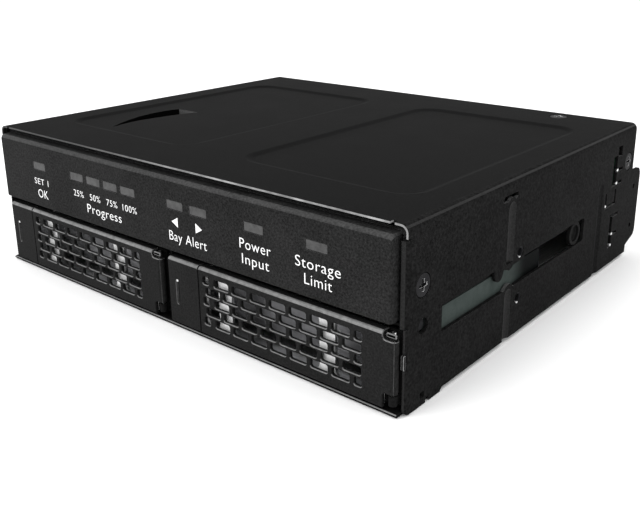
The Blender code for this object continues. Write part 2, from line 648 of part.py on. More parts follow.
def latch(side, shift, mover):
    """Push plate beside the door, with a stem that runs back through the tray's bracket."""
    plate = brick(shifted(LATCH_X, shift), depths(*SKIN_DEPTHS), (TRAY_LOW, TRAY_HIGH))
    stem = rod("Y", (STEM_X + shift, STEM_Z), STEM_RADIUS, depths(-1.5, 1.9))
    groove = brick(shifted((5.7, 6.4), shift), depths(-3.0, -1.7), (7.0, 13.2))
    piece(f"latch_{side}", BLACK_PLASTIC, plate, [stem], [groove], mover=mover)


def tray_motion_pieces(side, shift):
    """One tray with its door, latch, drive and screws."""
    slide = joint_empty(f"tray_{side}_joint", DRIVE_MIDDLE + shift, 0.0, 10.0)
    swing = joint_empty(f"door_{side}_joint", HINGE_X + shift, HINGE_DEPTH, 10.0, slide)
    push = joint_empty(f"latch_{side}_joint", STEM_X + shift, -BEZEL_LEAD, STEM_Z, slide)
    tray_pan(side, shift, slide)
    tray_door(side, shift, swing)
    latch(side, shift, push)
    pin = rod("Z", (HINGE_X + shift, at_depth(HINGE_DEPTH)), PIN_RADIUS, (2.3, 18.9), 12)
    piece(f"hinge_pin_{side}", PLATED_STEEL, pin, mover=slide)
    coil_centre = (STEM_X + shift, STEM_Z)
    coil = rod("Y", coil_centre, SPRING_RADII[1], depths(0.8, 1.9))
    coil_hole = rod("Y", coil_centre, SPRING_RADII[0], depths(0.0, 3.0))
    piece(f"latch_spring_{side}", PLATED_STEEL, coil, cut=[coil_hole], mover=slide)
    drive(side, shift, slide)


def drive(side, shift, mover):
    """A 2.5 inch drive: casting, lid and circuit board, with its four screws."""
    x = shifted(DRIVE_X, shift)
    middle = DRIVE_MIDDLE + shift
    long_depths = (DRIVE_FRONT, DRIVE_FRONT + DRIVE_LENGTH)
    holes = [rod("Z", (sx, at_depth(depth)), 1.5, (4.0, 7.5), 12) for sx, depth in drive_screw_places(shift)]
    base = prism(rounded(x, depths(*long_depths), 2.0, 3), "Z", (4.3, 12.6))
    piece(f"drive_case_{side}", CAST_ALUMINIUM, base, cut=holes, mover=mover)
    lid_outline = rounded((x[0] + 0.8, x[1] - 0.8), depths(long_depths[0] + 0.8, long_depths[1] - 6.0), 3.0, 3)
    piece(f"drive_lid_{side}", CAST_ALUMINIUM, prism(lid_outline, "Z", (12.9, 13.5)), mover=mover)
    board = brick((middle - 27.0, middle + 27.0), depths(45.0, long_depths[1] - 0.5), (3.0, 4.0))
    piece(f"drive_board_{side}", GREEN_BOARD, board, mover=mover)
    for number, (sx, depth) in enumerate(drive_screw_places(shift), 1):
        stations = [(1.2, 2.4), (1.9, 2.7), (1.9, 1.2), (6.8, 1.2)]
        screw = cone("Z", (sx, at_depth(depth)), stations, 12)
        piece(f"drive_screw_{side}_{number}", PLATED_STEEL, screw, mover=mover)
    connector_x = shifted((-18.0, 18.0), middle + CONNECTOR_SHIFT)
    housing = brick(connector_x, depths(long_depths[1] + 0.4, BACKPLANE_DEPTHS[0] - GAP), (4.6, 9.6))
    piece(f"drive_connector_{side}", BLACK_PLASTIC, housing)


def build():
    """Clears the scene and makes every sub-part."""
    for obj in list(bpy.data.objects):
        bpy.data.objects.remove(obj, do_unlink=True)
    outer_shell()
    bottom_plate()
    rear_panel()
    front_bezel()
    light_pipe()
    led_board()
    led_cable()
    shelf()
    bay_divider()
    guide_rails()
    controller_board()
    backplane()
    case_screws()
    tray_motion_pieces("right", 0.0)
    tray_motion_pieces("left", -BAY_PITCH)


build()
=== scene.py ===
"""Looks of the two-bay drive module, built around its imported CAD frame.

Places are millimetres in the frame's axes, and MM turns them into metres.
Depths are counted from the case's front edge towards the rear.
"""
import json
import math

import bmesh
import bpy
from mathutils import Matrix, Vector


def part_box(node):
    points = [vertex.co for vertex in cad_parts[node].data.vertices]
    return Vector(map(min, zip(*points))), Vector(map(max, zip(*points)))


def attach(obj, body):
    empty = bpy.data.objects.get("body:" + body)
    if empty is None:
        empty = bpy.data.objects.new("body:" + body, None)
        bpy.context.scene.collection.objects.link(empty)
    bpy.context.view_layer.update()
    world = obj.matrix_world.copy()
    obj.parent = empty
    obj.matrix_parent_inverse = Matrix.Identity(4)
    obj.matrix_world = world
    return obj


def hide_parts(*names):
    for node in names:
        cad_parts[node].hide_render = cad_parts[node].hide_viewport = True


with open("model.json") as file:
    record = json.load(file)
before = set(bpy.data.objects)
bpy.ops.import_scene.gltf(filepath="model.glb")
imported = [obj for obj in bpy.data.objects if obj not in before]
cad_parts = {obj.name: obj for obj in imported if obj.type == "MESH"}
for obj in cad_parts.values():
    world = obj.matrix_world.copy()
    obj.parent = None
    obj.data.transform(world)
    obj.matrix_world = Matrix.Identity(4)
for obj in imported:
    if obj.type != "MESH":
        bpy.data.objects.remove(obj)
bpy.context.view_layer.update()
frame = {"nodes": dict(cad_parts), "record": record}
MM = 0.001


# ---------------------------------------------------------------- places from the frame

def spans(node):
    """The spans of a CAD node along X, Y and Z, in millimetres."""
    return [(low / MM, high / MM) for low, high in zip(*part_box(node))]


def span(node, axis):
    return spans(node)["xyz".index(axis)]


(_, HALF_WIDTH), (CASE_FRONT, EAR_BACK), (LEG_BOTTOM, CASE_TOP) = spans("outer_shell")
(_, BEZEL_HALF), (FACE, BEZEL_BACK), BEZEL_Z = spans("front_bezel")
CASE_BACK = span("rear_panel", "y")[1]
SHEET = 0.8
BEND_RADIUS = 1.8
BAY_PITCH = span("latch_right", "x")[0] - span("latch_left", "x")[0]
SIDES = {"right": 0.0, "left": -BAY_PITCH}


def at_depth(depth):
    """Y of a place that lies depth behind the case's front edge."""
    return CASE_FRONT + depth


def depths(front, back):
    return (at_depth(front), at_depth(back))


def shifted(pair, shift):
    return (pair[0] + shift, pair[1] + shift)


# ---------------------------------------------------------------- shells

def arc(centre, radius, start, end, steps):
    """Points on an arc from the start angle to the end angle, in degrees."""
    angles = [math.radians(start + (end - start) * i / steps) for i in range(steps + 1)]
    return [(centre[0] + radius * math.cos(a), centre[1] + radius * math.sin(a)) for a in angles]


def rounded(a_span, b_span, radius, steps=6):
    """Outline of a rectangle with round corners."""
    low_a, high_a = a_span[0] + radius, a_span[1] - radius
    low_b, high_b = b_span[0] + radius, b_span[1] - radius
    return (
        arc((high_a, high_b), radius, 0, 90, steps)
        + arc((low_a, high_b), radius, 90, 180, steps)
        + arc((low_a, low_b), radius, 180, 270, steps)
        + arc((high_a, low_b), radius, 270, 360, steps)
    )


def place(axis, a, b, along):
    return {"X": (along, a, b), "Y": (a, along, b), "Z": (a, b, along)}[axis]


def loft(rings):
    """A closed shell through rings that have the same number of points."""
    count = len(rings[0])
    points = [point for ring in rings for point in ring]
    faces = [tuple(range(count)), tuple(range(len(points) - 1, len(points) - count - 1, -1))]
    for level in range(len(rings) - 1):
        base = level * count
        for low in range(count):
            high = (low + 1) % count
            faces.append((base + low, base + high, base + count + high, base + count + low))
    return points, faces


def prism(outline, axis, along):
    return loft([[place(axis, a, b, step) for a, b in outline] for step in along])


def brick(x, y, z):
    return prism([(x[0], y[0]), (x[1], y[0]), (x[1], y[1]), (x[0], y[1])], "Z", z)


def turned(axis, centre, stations, sides=32):
    """A turned shell through (place along axis, radius) stations."""
    rings = []
    for along, radius in stations:
        ring = arc(centre, radius, 0, 360 - 360 / sides, sides - 1)
        rings.append([place(axis, a, b, along) for a, b in ring])
    return loft(rings)


def rod(axis, centre, radius, along, sides=32):
    return turned(axis, centre, [(step, radius) for step in along], sides)


# ---------------------------------------------------------------- objects

def add_object(name, data):
    obj = bpy.data.objects.new(name, data)
    bpy.context.collection.objects.link(obj)
    return obj


def raw_object(name, shells):
    """An object from closed shells, in place in the frame."""
    bm = bmesh.new()
    for points, faces in shells:
        verts = [bm.verts.new([value * MM for value in point]) for point in points]
        for face in faces:
            bm.faces.new([verts[i] for i in face])
    bmesh.ops.recalc_face_normals(bm, faces=bm.faces)
    mesh = bpy.data.meshes.new(name)
    bm.to_mesh(mesh)
    bm.free()
    return add_object(name, mesh)


def settle(obj):
    """Applies every modifier of obj."""
    graph = bpy.context.evaluated_depsgraph_get()
    mesh = bpy.data.meshes.new_from_object(obj.evaluated_get(graph))
    obj.modifiers.clear()
    obj.data = mesh
    return obj


def combine(obj, shells, operation):
    """Joins shells to obj, or cuts them from it, as one Boolean."""
    if not shells:
        return obj
    tool = raw_object("tool", shells)
    modifier = obj.modifiers.new("combine", "BOOLEAN")
    modifier.operation = operation
    modifier.object = tool
    settle(obj)
    bpy.data.objects.remove(tool, do_unlink=True)
    return obj


def clean(obj):
    """Joins the doubled points that a Boolean or a bevel leaves."""
    bm = bmesh.new()
    bm.from_mesh(obj.data)
    bmesh.ops.remove_doubles(bm, verts=bm.verts, dist=0.002 * MM)
    bm.to_mesh(obj.data)
    bm.free()


def soften(obj, width, segments=2, angle=32, clamp=True):
    """Rounds the sharp edges slightly; the rounded strips take the second material, at first the painted edge
    highlight.
    """
    while len(obj.data.materials) < 2:
        obj.data.materials.append(EDGE_HIGHLIGHT)
    bevel = obj.modifiers.new("soften", "BEVEL")
    bevel.material = 1
    bevel.use_clamp_overlap = clamp
    bevel.width = width * MM
    bevel.segments = segments
    bevel.limit_method = "ANGLE"
    bevel.angle_limit = math.radians(angle)
    bevel.miter_outer = "MITER_ARC"
    settle(obj)
    clean(obj)
    return even_shading(obj)


def even_shading(obj, angle=40):
    obj.data.shade_smooth()
    obj.data.set_sharp_from_angle(angle=math.radians(angle))
    weighted = obj.modifiers.new("even", "WEIGHTED_NORMAL")
    weighted.keep_sharp = True
    weighted.weight = 80
    return obj


def make(name, base, joins=(), cuts=(), edge=0.0, segments=2, angle=32):
    """A piece from a base shell, shells joined one by one and shells cut away together."""
    obj = raw_object(name, [base])
    for shell in joins:
        combine(obj, [shell], "UNION")
    combine(obj, list(cuts), "DIFFERENCE")
    if edge:
        return soften(obj, edge, segments, angle)
    return even_shading(obj)


def give(obj, body, slot, material, *others, instead_of=(), edge=None):
    """Hands a finished piece to its body and hides the nodes it stands for.

    The piece's material slots are its surface, its rounded edges and then the others. The slot argument is
    not used.
    """
    # coated pieces get the painted edge highlight on their rounded strips unless another edge is given
    edge = edge or (EDGE_HIGHLIGHT if material in COATED else material)
    for index, wanted in enumerate((material, edge, *others)):
        if index < len(obj.data.materials):
            obj.data.materials[index] = wanted
        else:
            obj.data.materials.append(wanted)
    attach(obj, body)
    if instead_of:
        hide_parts(*instead_of)
    return obj


def paint_faces(obj, index, wanted, over_edges=False):
    """Gives the faces for which wanted(centre in millimetres, normal) holds another material."""
    for polygon in obj.data.polygons:
        free = over_edges or polygon.material_index != 1
        if free and wanted(polygon.center / MM, polygon.normal):
            polygon.material_index = index


# ---------------------------------------------------------------- materials

def surface(name, colour, roughness, metallic=0.0, specular=0.5):
    """A Principled material with its even values on the shader's own sockets."""
    material = bpy.data.materials.new(name)
    material.use_nodes = True
    shader = shader_of(material)
    shader.inputs["Base Color"].default_value = (*colour, 1.0)
    shader.inputs["Roughness"].default_value = roughness
    shader.inputs["Metallic"].default_value = metallic
    shader.inputs["Specular IOR Level"].default_value = specular
    return material


def wire(material, source, socket):
    material.node_tree.links.new(source, socket)


def add_node(material, kind, **values):
    node = material.node_tree.nodes.new(kind)
    for key, value in values.items():
        if key in node.inputs.keys():
            node.inputs[key].default_value = value
        else:
            setattr(node, key, value)
    return node


def object_place(material, stretch=(1.0, 1.0, 1.0)):
    """Object coordinates, stretched per axis."""
    place_node = add_node(material, "ShaderNodeTexCoord")
    mapping = add_node(material, "ShaderNodeMapping")
    mapping.inputs["Scale"].default_value = stretch
    wire(material, place_node.outputs["Object"], mapping.inputs["Vector"])
    return mapping.outputs["Vector"]


def noise(material, size, detail=2.0, stretch=(1.0, 1.0, 1.0)):
    """A noise whose features are about size millimetres; gives its value socket."""
    node = add_node(material, "ShaderNodeTexNoise", Scale=1.0 / (size * MM), Detail=detail, Roughness=0.6)
    wire(material, object_place(material, stretch), node.inputs["Vector"])
    return node.outputs["Fac"]


def ramp(material, source, stops):
    """A colour ramp over source, from (place, colour) stops."""
    node = add_node(material, "ShaderNodeValToRGB")
    elements = node.color_ramp.elements
    for index, (where, colour) in enumerate(stops):
        element = elements[index] if index < 2 else elements.new(where)
        element.position = where
        element.color = (*colour, 1.0)
    wire(material, source, node.inputs["Fac"])
    return node.outputs["Color"]


def shader_of(material):
    return material.node_tree.nodes["Principled BSDF"]


def link(material, source, socket):
    """Feeds a socket of the material's shader."""
    wire(material, source, shader_of(material).inputs[socket])


def grey(value):
    return (value, value, value)


def vary_roughness(material, source, low, high):
    node = add_node(material, "ShaderNodeMapRange")
    node.inputs["To Min"].default_value = low
    node.inputs["To Max"].default_value = high
    wire(material, source, node.inputs["Value"])
    link(material, node.outputs["Result"], "Roughness")


def bump(material, sources):
    """A chain of bumps from (height socket, depth in millimetres, strength)."""
    previous = None
    for height, depth, strength in sources:
        node = add_node(material, "ShaderNodeBump", Strength=strength, Distance=depth * MM)
        wire(material, height, node.inputs["Height"])
        if previous:
            wire(material, previous, node.inputs["Normal"])
        previous = node.outputs["Normal"]
    link(material, previous, "Normal")


def powder_coat(name, dark, light, grain, depth, roughness, specular):
    """Black coat with a fine grain, slight mottling and small light specks."""
    cloud_size, cloud_share = 14.0, 0.22
    material = surface(name, grey(dark), roughness, specular=specular)
    fine = noise(material, grain, 3.0)
    cloud = noise(material, cloud_size, 2.0)
    share = add_node(material, "ShaderNodeMath", operation="MULTIPLY")
    share.inputs[1].default_value = cloud_share
    wire(material, cloud, share.inputs[0])
    mix = add_node(material, "ShaderNodeMath", operation="MULTIPLY_ADD")
    mix.inputs[1].default_value = 1.0 - cloud_share
    wire(material, fine, mix.inputs[0])
    wire(material, share.outputs[0], mix.inputs[2])
    stops = [(0.34, grey(dark)), (0.52, grey((dark + light) / 2)), (0.68, grey(light))]
    link(material, ramp(material, mix.outputs[0], stops), "Base Color")
    vary_roughness(material, cloud, roughness - 0.05, roughness + 0.06)
    pits = noise(material, grain * 0.9, 3.0)
    waves = noise(material, grain * 3.2, 2.0)
    bump(material, [(pits, depth, 0.5), (waves, depth, 0.25)])
    return material


def plated(name, low, high, roughness, metallic=1.0):
    """Zinc plate with soft cloudy patches and drawing lines."""
    material = surface(name, grey(high), roughness, metallic=metallic)
    cloud = noise(material, 2.4, 3.0)
    lines = noise(material, 0.25, 2.0, stretch=(0.06, 1.0, 1.0))
    link(material, ramp(material, cloud, [(0.3, grey(low)), (0.65, grey(high))]), "Base Color")
    vary_roughness(material, lines, roughness - 0.08, roughness + 0.14)
    bump(material, [(lines, 0.01, 0.3)])
    return material


def cut_edge_and_highlight():
    """Sheared sheet edge: bare metal with a painted highlight that fades to dark towards the left."""
    material = surface("cut_edge_and_highlight", grey(0.2), 0.42, metallic=0.3)
    patches = noise(material, 5.0, 4.0)
    bare_and_lit_tone = ramp(material, patches, [(0.3, grey(0.12)), (0.5, grey(0.24)), (0.7, grey(0.4))])
    # painted highlight: the bright edge fades to dark towards the left
    share = ramp_along(material, "X", -45.0, 30.0, 0.0, 1.0)
    link(material, blend(material, share, bare_and_lit_tone, grey(0.02)), "Base Color")
    vary_roughness(material, patches, 0.34, 0.55)
    bump(material, [(noise(material, 0.2, 2.0), 0.02, 0.4)])
    return material


def smoky_lens():
    """Dark clear plastic with a matted face."""
    material = surface("smoky_lens", grey(0.085), 0.34, specular=0.1)
    soft = noise(material, 1.6, 2.0)
    link(material, ramp(material, soft, [(0.3, grey(0.044)), (0.7, grey(0.072))]), "Base Color")
    bump(material, [(noise(material, 0.12, 2.0), 0.008, 0.4)])
    return material


def print_ink():
    """Screen-printed white ink with slightly uneven cover."""
    material = surface("print_ink", grey(0.86), 0.5, specular=0.3)
    cover = noise(material, 0.18, 3.0)
    link(material, ramp(material, cover, [(0.25, grey(0.62)), (0.5, grey(0.9))]), "Base Color")
    bump(material, [(cover, 0.01, 0.3)])
    return material


def solder_mask():
    """Green board with the faint relief of its copper tracks."""
    material = surface("solder_mask", (0.01, 0.11, 0.045), 0.32)
    shader_of(material).inputs["Coat Weight"].default_value = 0.2
    tracks = add_node(material, "ShaderNodeTexBrick", Scale=180.0)
    tracks.inputs["Mortar Size"].default_value = 0.035
    tracks.inputs["Color1"].default_value = (0.008, 0.085, 0.035, 1.0)
    tracks.inputs["Color2"].default_value = (0.012, 0.115, 0.05, 1.0)
    tracks.inputs["Mortar"].default_value = (0.03, 0.2, 0.09, 1.0)
    wire(material, object_place(material), tracks.inputs["Vector"])
    link(material, tracks.outputs["Color"], "Base Color")
    bump(material, [(tracks.outputs["Fac"], 0.03, 0.3), (noise(material, 0.5, 2.0), 0.01, 0.2)])
    return material


def casting():
    """Bare aluminium casting: fine sandy skin with slow tone changes."""
    material = surface("aluminium_casting", grey(0.3), 0.42, metallic=1.0)
    cloud = noise(material, 5.0, 3.0)
    tones = [(0.3, (0.20, 0.20, 0.21)), (0.7, (0.34, 0.34, 0.35))]
    link(material, ramp(material, cloud, tones), "Base Color")
    vary_roughness(material, cloud, 0.36, 0.52)
    bump(material, [(noise(material, 0.25, 3.0), 0.02, 0.5)])
    return material


def brushed(name, low, high):
    """Brushed lid sheet."""
    material = surface(name, grey(high), 0.3, metallic=1.0)
    lines = noise(material, 0.16, 3.0, stretch=(1.0, 0.03, 1.0))
    link(material, ramp(material, lines, [(0.3, grey(low)), (0.7, grey(high))]), "Base Color")
    vary_roughness(material, lines, 0.24, 0.42)
    bump(material, [(lines, 0.006, 0.4)])
    return material


def moulded(name, low, high, roughness, specular=0.35):
    """Moulded plastic with a fine spark-eroded texture; colours are linear triples."""
    material = surface(name, high, roughness, specular=specular)
    cloud = noise(material, 3.5, 2.0)
    link(material, ramp(material, cloud, [(0.3, low), (0.7, high)]), "Base Color")
    vary_roughness(material, cloud, roughness - 0.06, roughness + 0.06)
    bump(material, [(noise(material, 0.22, 2.0), 0.012, 0.4)])
    return material


def ramp_along(material, axis, start, end, first=1.0, last=0.0):
    """A value that runs from first to last between two places on an axis, in millimetres."""
    parts = add_node(material, "ShaderNodeSeparateXYZ")
    wire(material, object_place(material), parts.inputs["Vector"])
    along = add_node(material, "ShaderNodeMapRange", interpolation_type="SMOOTHSTEP")
    for key, value in (("From Min", start * MM), ("From Max", end * MM), ("To Min", first), ("To Max", last)):
        along.inputs[key].default_value = value
    wire(material, parts.outputs[axis], along.inputs["Value"])
    return along.outputs["Result"]


def blend(material, share, colour, dark):
    """Colour where share is one and dark where it is zero."""
    mix = add_node(material, "ShaderNodeMixRGB")
    mix.inputs["Color1"].default_value = (*dark, 1.0)
    wire(material, colour, mix.inputs["Color2"])
    wire(material, share, mix.inputs["Fac"])
    return mix.outputs["Color"]


def rail_plastic():
    """Grey-green slide rail, with painted shade turning it black towards its rear end."""
    material = surface("rail_grey_shaded", (0.03, 0.038, 0.036), 0.5, specular=0.01)
    cloud = noise(material, 3.5, 2.0)
    colour = ramp(material, cloud, [(0.3, (0.034, 0.043, 0.04)), (0.7, (0.046, 0.056, 0.053))])
    # painted shade: the rail turns black towards its rear end, inside the case
    share = ramp_along(material, "Y", at_depth(42.5), at_depth(53.0))
    link(material, blend(material, share, colour, (0.003, 0.0035, 0.0035)), "Base Color")
    bump(material, [(noise(material, 0.22, 2.0), 0.012, 0.4)])
    return material


def ribbon_stripes():
    """White flat cable: one soft ridge for each wire."""
    material = surface("ribbon_cable", grey(0.72), 0.45)
    wave = add_node(material, "ShaderNodeTexWave", Scale=250.0, bands_direction="X")
    wire(material, object_place(material), wave.inputs["Vector"])
    link(material, ramp(material, wave.outputs["Fac"], [(0.1, grey(0.45)), (0.5, grey(0.75))]), "Base Color")
    bump(material, [(wave.outputs["Fac"], 0.15, 0.6)])
    return material


CASE_COAT = powder_coat("case_coat", 0.0040, 0.0080, 0.38, 0.05, 0.6, 0.01)
# painted light and shade: a copy of the case coat with a wider tone range, for the sides
SIDE_LIGHT_AND_SHADE = powder_coat("side_light_and_shade", 0.003, 0.015, 0.6, 0.09, 0.6, 0.01)
# painted highlight for bead flanks, the wall's rounded front edge, the bend's crest and screw edges
MILD_HIGHLIGHT = powder_coat("mild_highlight", 0.009, 0.021, 0.5, 0.05, 0.55, 0.08)
BEZEL_COAT = powder_coat("bezel_coat", 0.006, 0.027, 0.5, 0.1, 0.58, 0.02)
# painted highlight for the bezel's rounded top edge and the doors' hinge ends
SOFT_HIGHLIGHT = powder_coat("soft_highlight", 0.016, 0.05, 0.5, 0.06, 0.5, 0.1)
DOOR_COAT = powder_coat("door_coat", 0.007, 0.02, 0.45, 0.05, 0.55, 0.02)
INNER_COAT = powder_coat("inner_coat", 0.004, 0.010, 0.5, 0.05, 0.6, 0.02)
SHADOW_COAT = powder_coat("shadow_coat", 0.001, 0.003, 0.5, 0.03, 0.7, 0.0)
# painted highlight for rolled top edges, slot lips facing up, the floor's front lip and small plate edges
STRONG_HIGHLIGHT = powder_coat("strong_highlight", 0.1, 0.2, 1.2, 0.03, 0.4, 0.3)
# painted highlight: a lighter, shinier coat for rounded edges where light would catch them
EDGE_HIGHLIGHT = powder_coat("edge_highlight", 0.04, 0.11, 0.5, 0.03, 0.36, 0.3)
BRIGHT_PLATE = plated("bright_plate", 0.62, 0.9, 0.3)
SCREW_PLATE = plated("screw_plate", 0.5, 0.8, 0.28)
# painted glints: a whiter, less metallic copy of the plate for the tray's front wall and the latch's pip
GLINT_PLATE = plated("glint_plate", 0.62, 0.84, 0.42, 0.4)
CUT_EDGE_AND_HIGHLIGHT = cut_edge_and_highlight()
LENS = smoky_lens()
INK = print_ink()
BOARD_GREEN = solder_mask()
CASTING = casting()
LID_STEEL = brushed("lid_steel", 0.38, 0.66)
RAIL_GREY_SHADED = rail_plastic()
BLACK_ABS = moulded("black_abs", (0.010, 0.010, 0.011), (0.02, 0.02, 0.021), 0.48)
CHIP_BLACK = moulded("chip_black", (0.012, 0.012, 0.013), (0.022, 0.022, 0.023), 0.4)
PALE_LABEL = moulded("pale_label", (0.62, 0.62, 0.60), (0.72, 0.72, 0.70), 0.42)
GOLD_CONTACT = plated("gold_contact", 0.5, 0.8, 0.25)
RIBBON = ribbon_stripes()
BLACK_SCREW = moulded("black_screw", (0.006, 0.006, 0.007), (0.016, 0.016, 0.017), 0.4, 0.03)
COATED = (CASE_COAT, BEZEL_COAT, DOOR_COAT, INNER_COAT, BLACK_SCREW)


# ---------------------------------------------------------------- outer case

MOUNT_HOLES = ((47.4, 21.84), (47.4, 10.0))
SIDE_SCREWS = ((5.7, 27.3), (114.0, 30.5))
TOP_SCREW = (50.5, 113.0)
HEAD_RADIUS = 2.6
HEAD_GAP = 0.12
CATCH_RIVET = (6.0, 18.3)
FRONT_BEAD = 42.1
REAR_BEAD = 95.0
LIP_START = 13.3
LIP_STEP = 0.85
THIN_EDGE = 0.45
CORNER_NOTCH = (68.7, 69.8)
THROUGH = (-HALF_WIDTH - 1, HALF_WIDTH + 1)


def case_section():
    """Outline of the folded case: top and two legs, open below."""
    corner = (HALF_WIDTH - BEND_RADIUS, CASE_TOP - BEND_RADIUS)
    right = [(HALF_WIDTH, LEG_BOTTOM)] + arc(corner, BEND_RADIUS, 0, 90, 10)
    inner_right = arc(corner, BEND_RADIUS - SHEET, 90, 0, 6) + [(HALF_WIDTH - SHEET, LEG_BOTTOM)]
    left = [(-x, z) for x, z in reversed(right)]
    inner_left = [(-x, z) for x, z in reversed(inner_right)]
    return right + left + inner_left + inner_right


def pressed_panel(x_span):
    """Cutter for a shallow panel whose border sinks in a soft S-curve."""
    border, depth, steps, corner = 2.6, 0.55, 8, 5.0
    front, back, lift = 15.0, 101.0, 0.004
    rings = []
    for step in range(-1, steps + 1):
        share = max(step, 0) / steps
        inset = border * share - (0.3 if step < 0 else 0.0)
        sink = depth * (3 * share ** 2 - 2 * share ** 3)
        height = CASE_TOP - sink + (0.5 if step < 0 else lift)
        x = (x_span[0] + inset, x_span[1] - inset)
        ring = rounded(x, depths(front + inset, back - inset), corner + border - inset, 8)
        rings.append([(a, b, height) for a, b in ring])
    return loft(rings)


def scoop():
    """Cutter for the lanced scoop: a steep curved wall on its left, a floor rising to the right."""
    stations = (
        ((-47.0, 20.5), 1.0, 0.60),
        ((-49.4, 25.0), 2.2, 0.95),
        ((-51.6, 30.0), 3.8, 1.35),
        ((-53.2, 35.0), 5.6, 1.75),
        ((-54.0, 40.0), 7.0, 2.1),
        ((-54.1, 45.0), 8.2, 2.35),
        ((-53.6, 48.6), 8.8, 2.45),
        ((-52.8, 50.6), 9.0, 2.45),
    )
    low, high = CASE_TOP - 0.56, CASE_TOP + 1
    rings = []
    for (x, depth), width, sink in stations:
        y = at_depth(depth)
        rings.append([(x, y, high), (x + width, y, high), (x + width, y, low), (x, y, CASE_TOP - sink)])
    return loft(rings)


def long_slot():
    """Outline of the long side slot with its keyhole bulges at the front bead."""
    low, high, corner_back = 14.2, 20.8, 83.5
    return (
        [(13.0, low), (39.6, low)]
        + arc((42.2, 12.7), 2.6, 145, 35, 8)
        + [(44.8, low), (corner_back, low)]
        + arc((corner_back, low + 1.0), 1.0, -90, 0, 4)
        + arc((corner_back, high - 1.0), 1.0, 0, 90, 4)
        + [(50.0, high), (49.4, 19.9), (45.0, 19.7)]
        + arc((42.2, 21.2), 2.3, -42, -138, 8)
        + [(39.4, 19.7), (39.2, 18.9)]
        + arc((37.3, 19.4), 1.9, -30, -150, 8)
        + [(35.4, 18.9), (34.9, high), (13.0, high)]
    )


def hook_slots():
    """Outlines of the slots that hold the shelf's tabs, from the top down."""
    return [
        [(105.5, 33.5), (108.3, 33.5), (108.3, 36.5), (105.5, 36.5)],
        [
            (102.6, 25.1), (109.6, 25.1), (109.6, 26.1), (105.4, 26.1), (105.4, 29.0), (109.6, 29.0),
            (109.6, 30.0), (105.4, 30.0), (105.4, 34.0), (102.6, 34.0),
        ],
        [
            (98.6, 24.0), (98.6, 19.4), (106.2, 19.4), (106.2, 24.0),
            (105.3, 24.0), (105.3, 20.3), (99.5, 20.3), (99.5, 24.0),
        ],
        [
            (103.5, 6.2), (106.8, 6.2), (106.8, 7.0), (105.9, 7.0), (105.9, 9.6), (109.4, 9.6),
            (109.4, 10.5), (105.5, 10.5), (105.5, 15.4), (109.4, 15.4), (109.4, 16.3), (103.5, 16.3),
        ],
    ]


def side_cutters():
    """Through-cuts of both sides: slots, hooks, holes, the lance over the bead and the foot lip."""
    lance = [(37.4, 36.4), (38.2, 37.7), (44.5, 37.7), (44.5, 36.7)] + arc((41.9, 34.9), 2.0, 40, 140, 6)
    toe = [(-1.0, -1.0), (1.5, -1.0), (1.5, 0.0)] + arc((1.5, 1.5), 1.5, 270, 180, 6) + [(-1.0, 1.5)]
    lip = [(LIP_START, -1.0), (126.0, -1.0), (126.0, LIP_STEP), (LIP_START + 0.7, LIP_STEP), (LIP_START, 0.3)]
    outlines = [
        long_slot(),
        *hook_slots(),
        lance,
        rounded((5.4, 7.1), (1.7, 3.1), 0.4, 3),
        [(-1.0, 37.9), (1.1, 37.9), (1.1, 38.5), (-1.0, 38.5)],
        [(7.6, -1.0), (8.9, -1.0), (8.9, 1.1), (7.6, 1.1)],
        lip,
        toe,
    ]
    cuts = [prism([(at_depth(depth), z) for depth, z in outline], "X", THROUGH) for outline in outlines]
    holes = [(spot, 1.5, 32) for spot in MOUNT_HOLES]
    holes += [((120.5, z), 0.8, 16) for z in (9.0, 21.5)]
    holes.append((CATCH_RIVET, 1.75, 24))
    holes += [(spot, HEAD_RADIUS + HEAD_GAP, 32) for spot in SIDE_SCREWS]
    cuts += [rod("X", (at_depth(depth), z), radius, THROUGH, sides) for (depth, z), radius, sides in holes]
    return cuts


def grooves():
    """Cutters for the half-round beads pressed into each side, and the pads that back them."""
    beads = (
        (FRONT_BEAD, 2.3, 0.75, (20.6, 36.4)),
        (FRONT_BEAD, 2.3, 0.62, (-1.0, 14.9)),
        (REAR_BEAD, 4.2, 0.4, (-1.0, 31.0)),
    )
    backs = ((FRONT_BEAD, (20.9, 36.2)), (FRONT_BEAD, (1.2, 13.9)), (REAR_BEAD, (1.2, 31.0)))
    half_pad = 2.6
    cuts, pads = [], []
    for side in (-1, 1):
        for depth, radius, sink, (low, high) in beads:
            x = side * (HALF_WIDTH + radius - sink)
            stations = [(low, radius)]
            for angle in (0, 25, 50, 70, 86):
                turn = math.radians(angle)
                stations.append((high - radius + radius * math.sin(turn), radius * math.cos(turn)))
            cuts.append(turned("Z", (x, at_depth(depth)), stations, 40))
        x_span = sorted((side * (HALF_WIDTH - SHEET + 0.2), side * (HALF_WIDTH - SHEET - 0.35)))
        for depth, z in backs:
            pads.append(brick(x_span, depths(depth - half_pad, depth + half_pad), z))
    return cuts, pads


def ear_cutters():
    """Cutters that leave only the two ears behind the case's rear edge."""
    ear_low, ear_high, corner, back = 4.5, 26.8, 2.5, EAR_BACK + 1
    above = [(CASE_BACK, CASE_TOP + 1), (CASE_BACK, ear_high)]
    above += arc((EAR_BACK - corner, ear_high - corner), corner, 90, 0, 8)
    above += [(back, ear_high - corner), (back, CASE_TOP + 1)]
    below = [(CASE_BACK, -1.0), (back, -1.0), (back, ear_low + corner)]
    below += arc((EAR_BACK - corner, ear_low + corner), corner, 0, -60, 6)
    below += [(CASE_BACK + 0.4, ear_low - 1.2), (CASE_BACK, ear_low - 1.6)]
    return [prism(outline, "X", THROUGH) for outline in (above, below)]


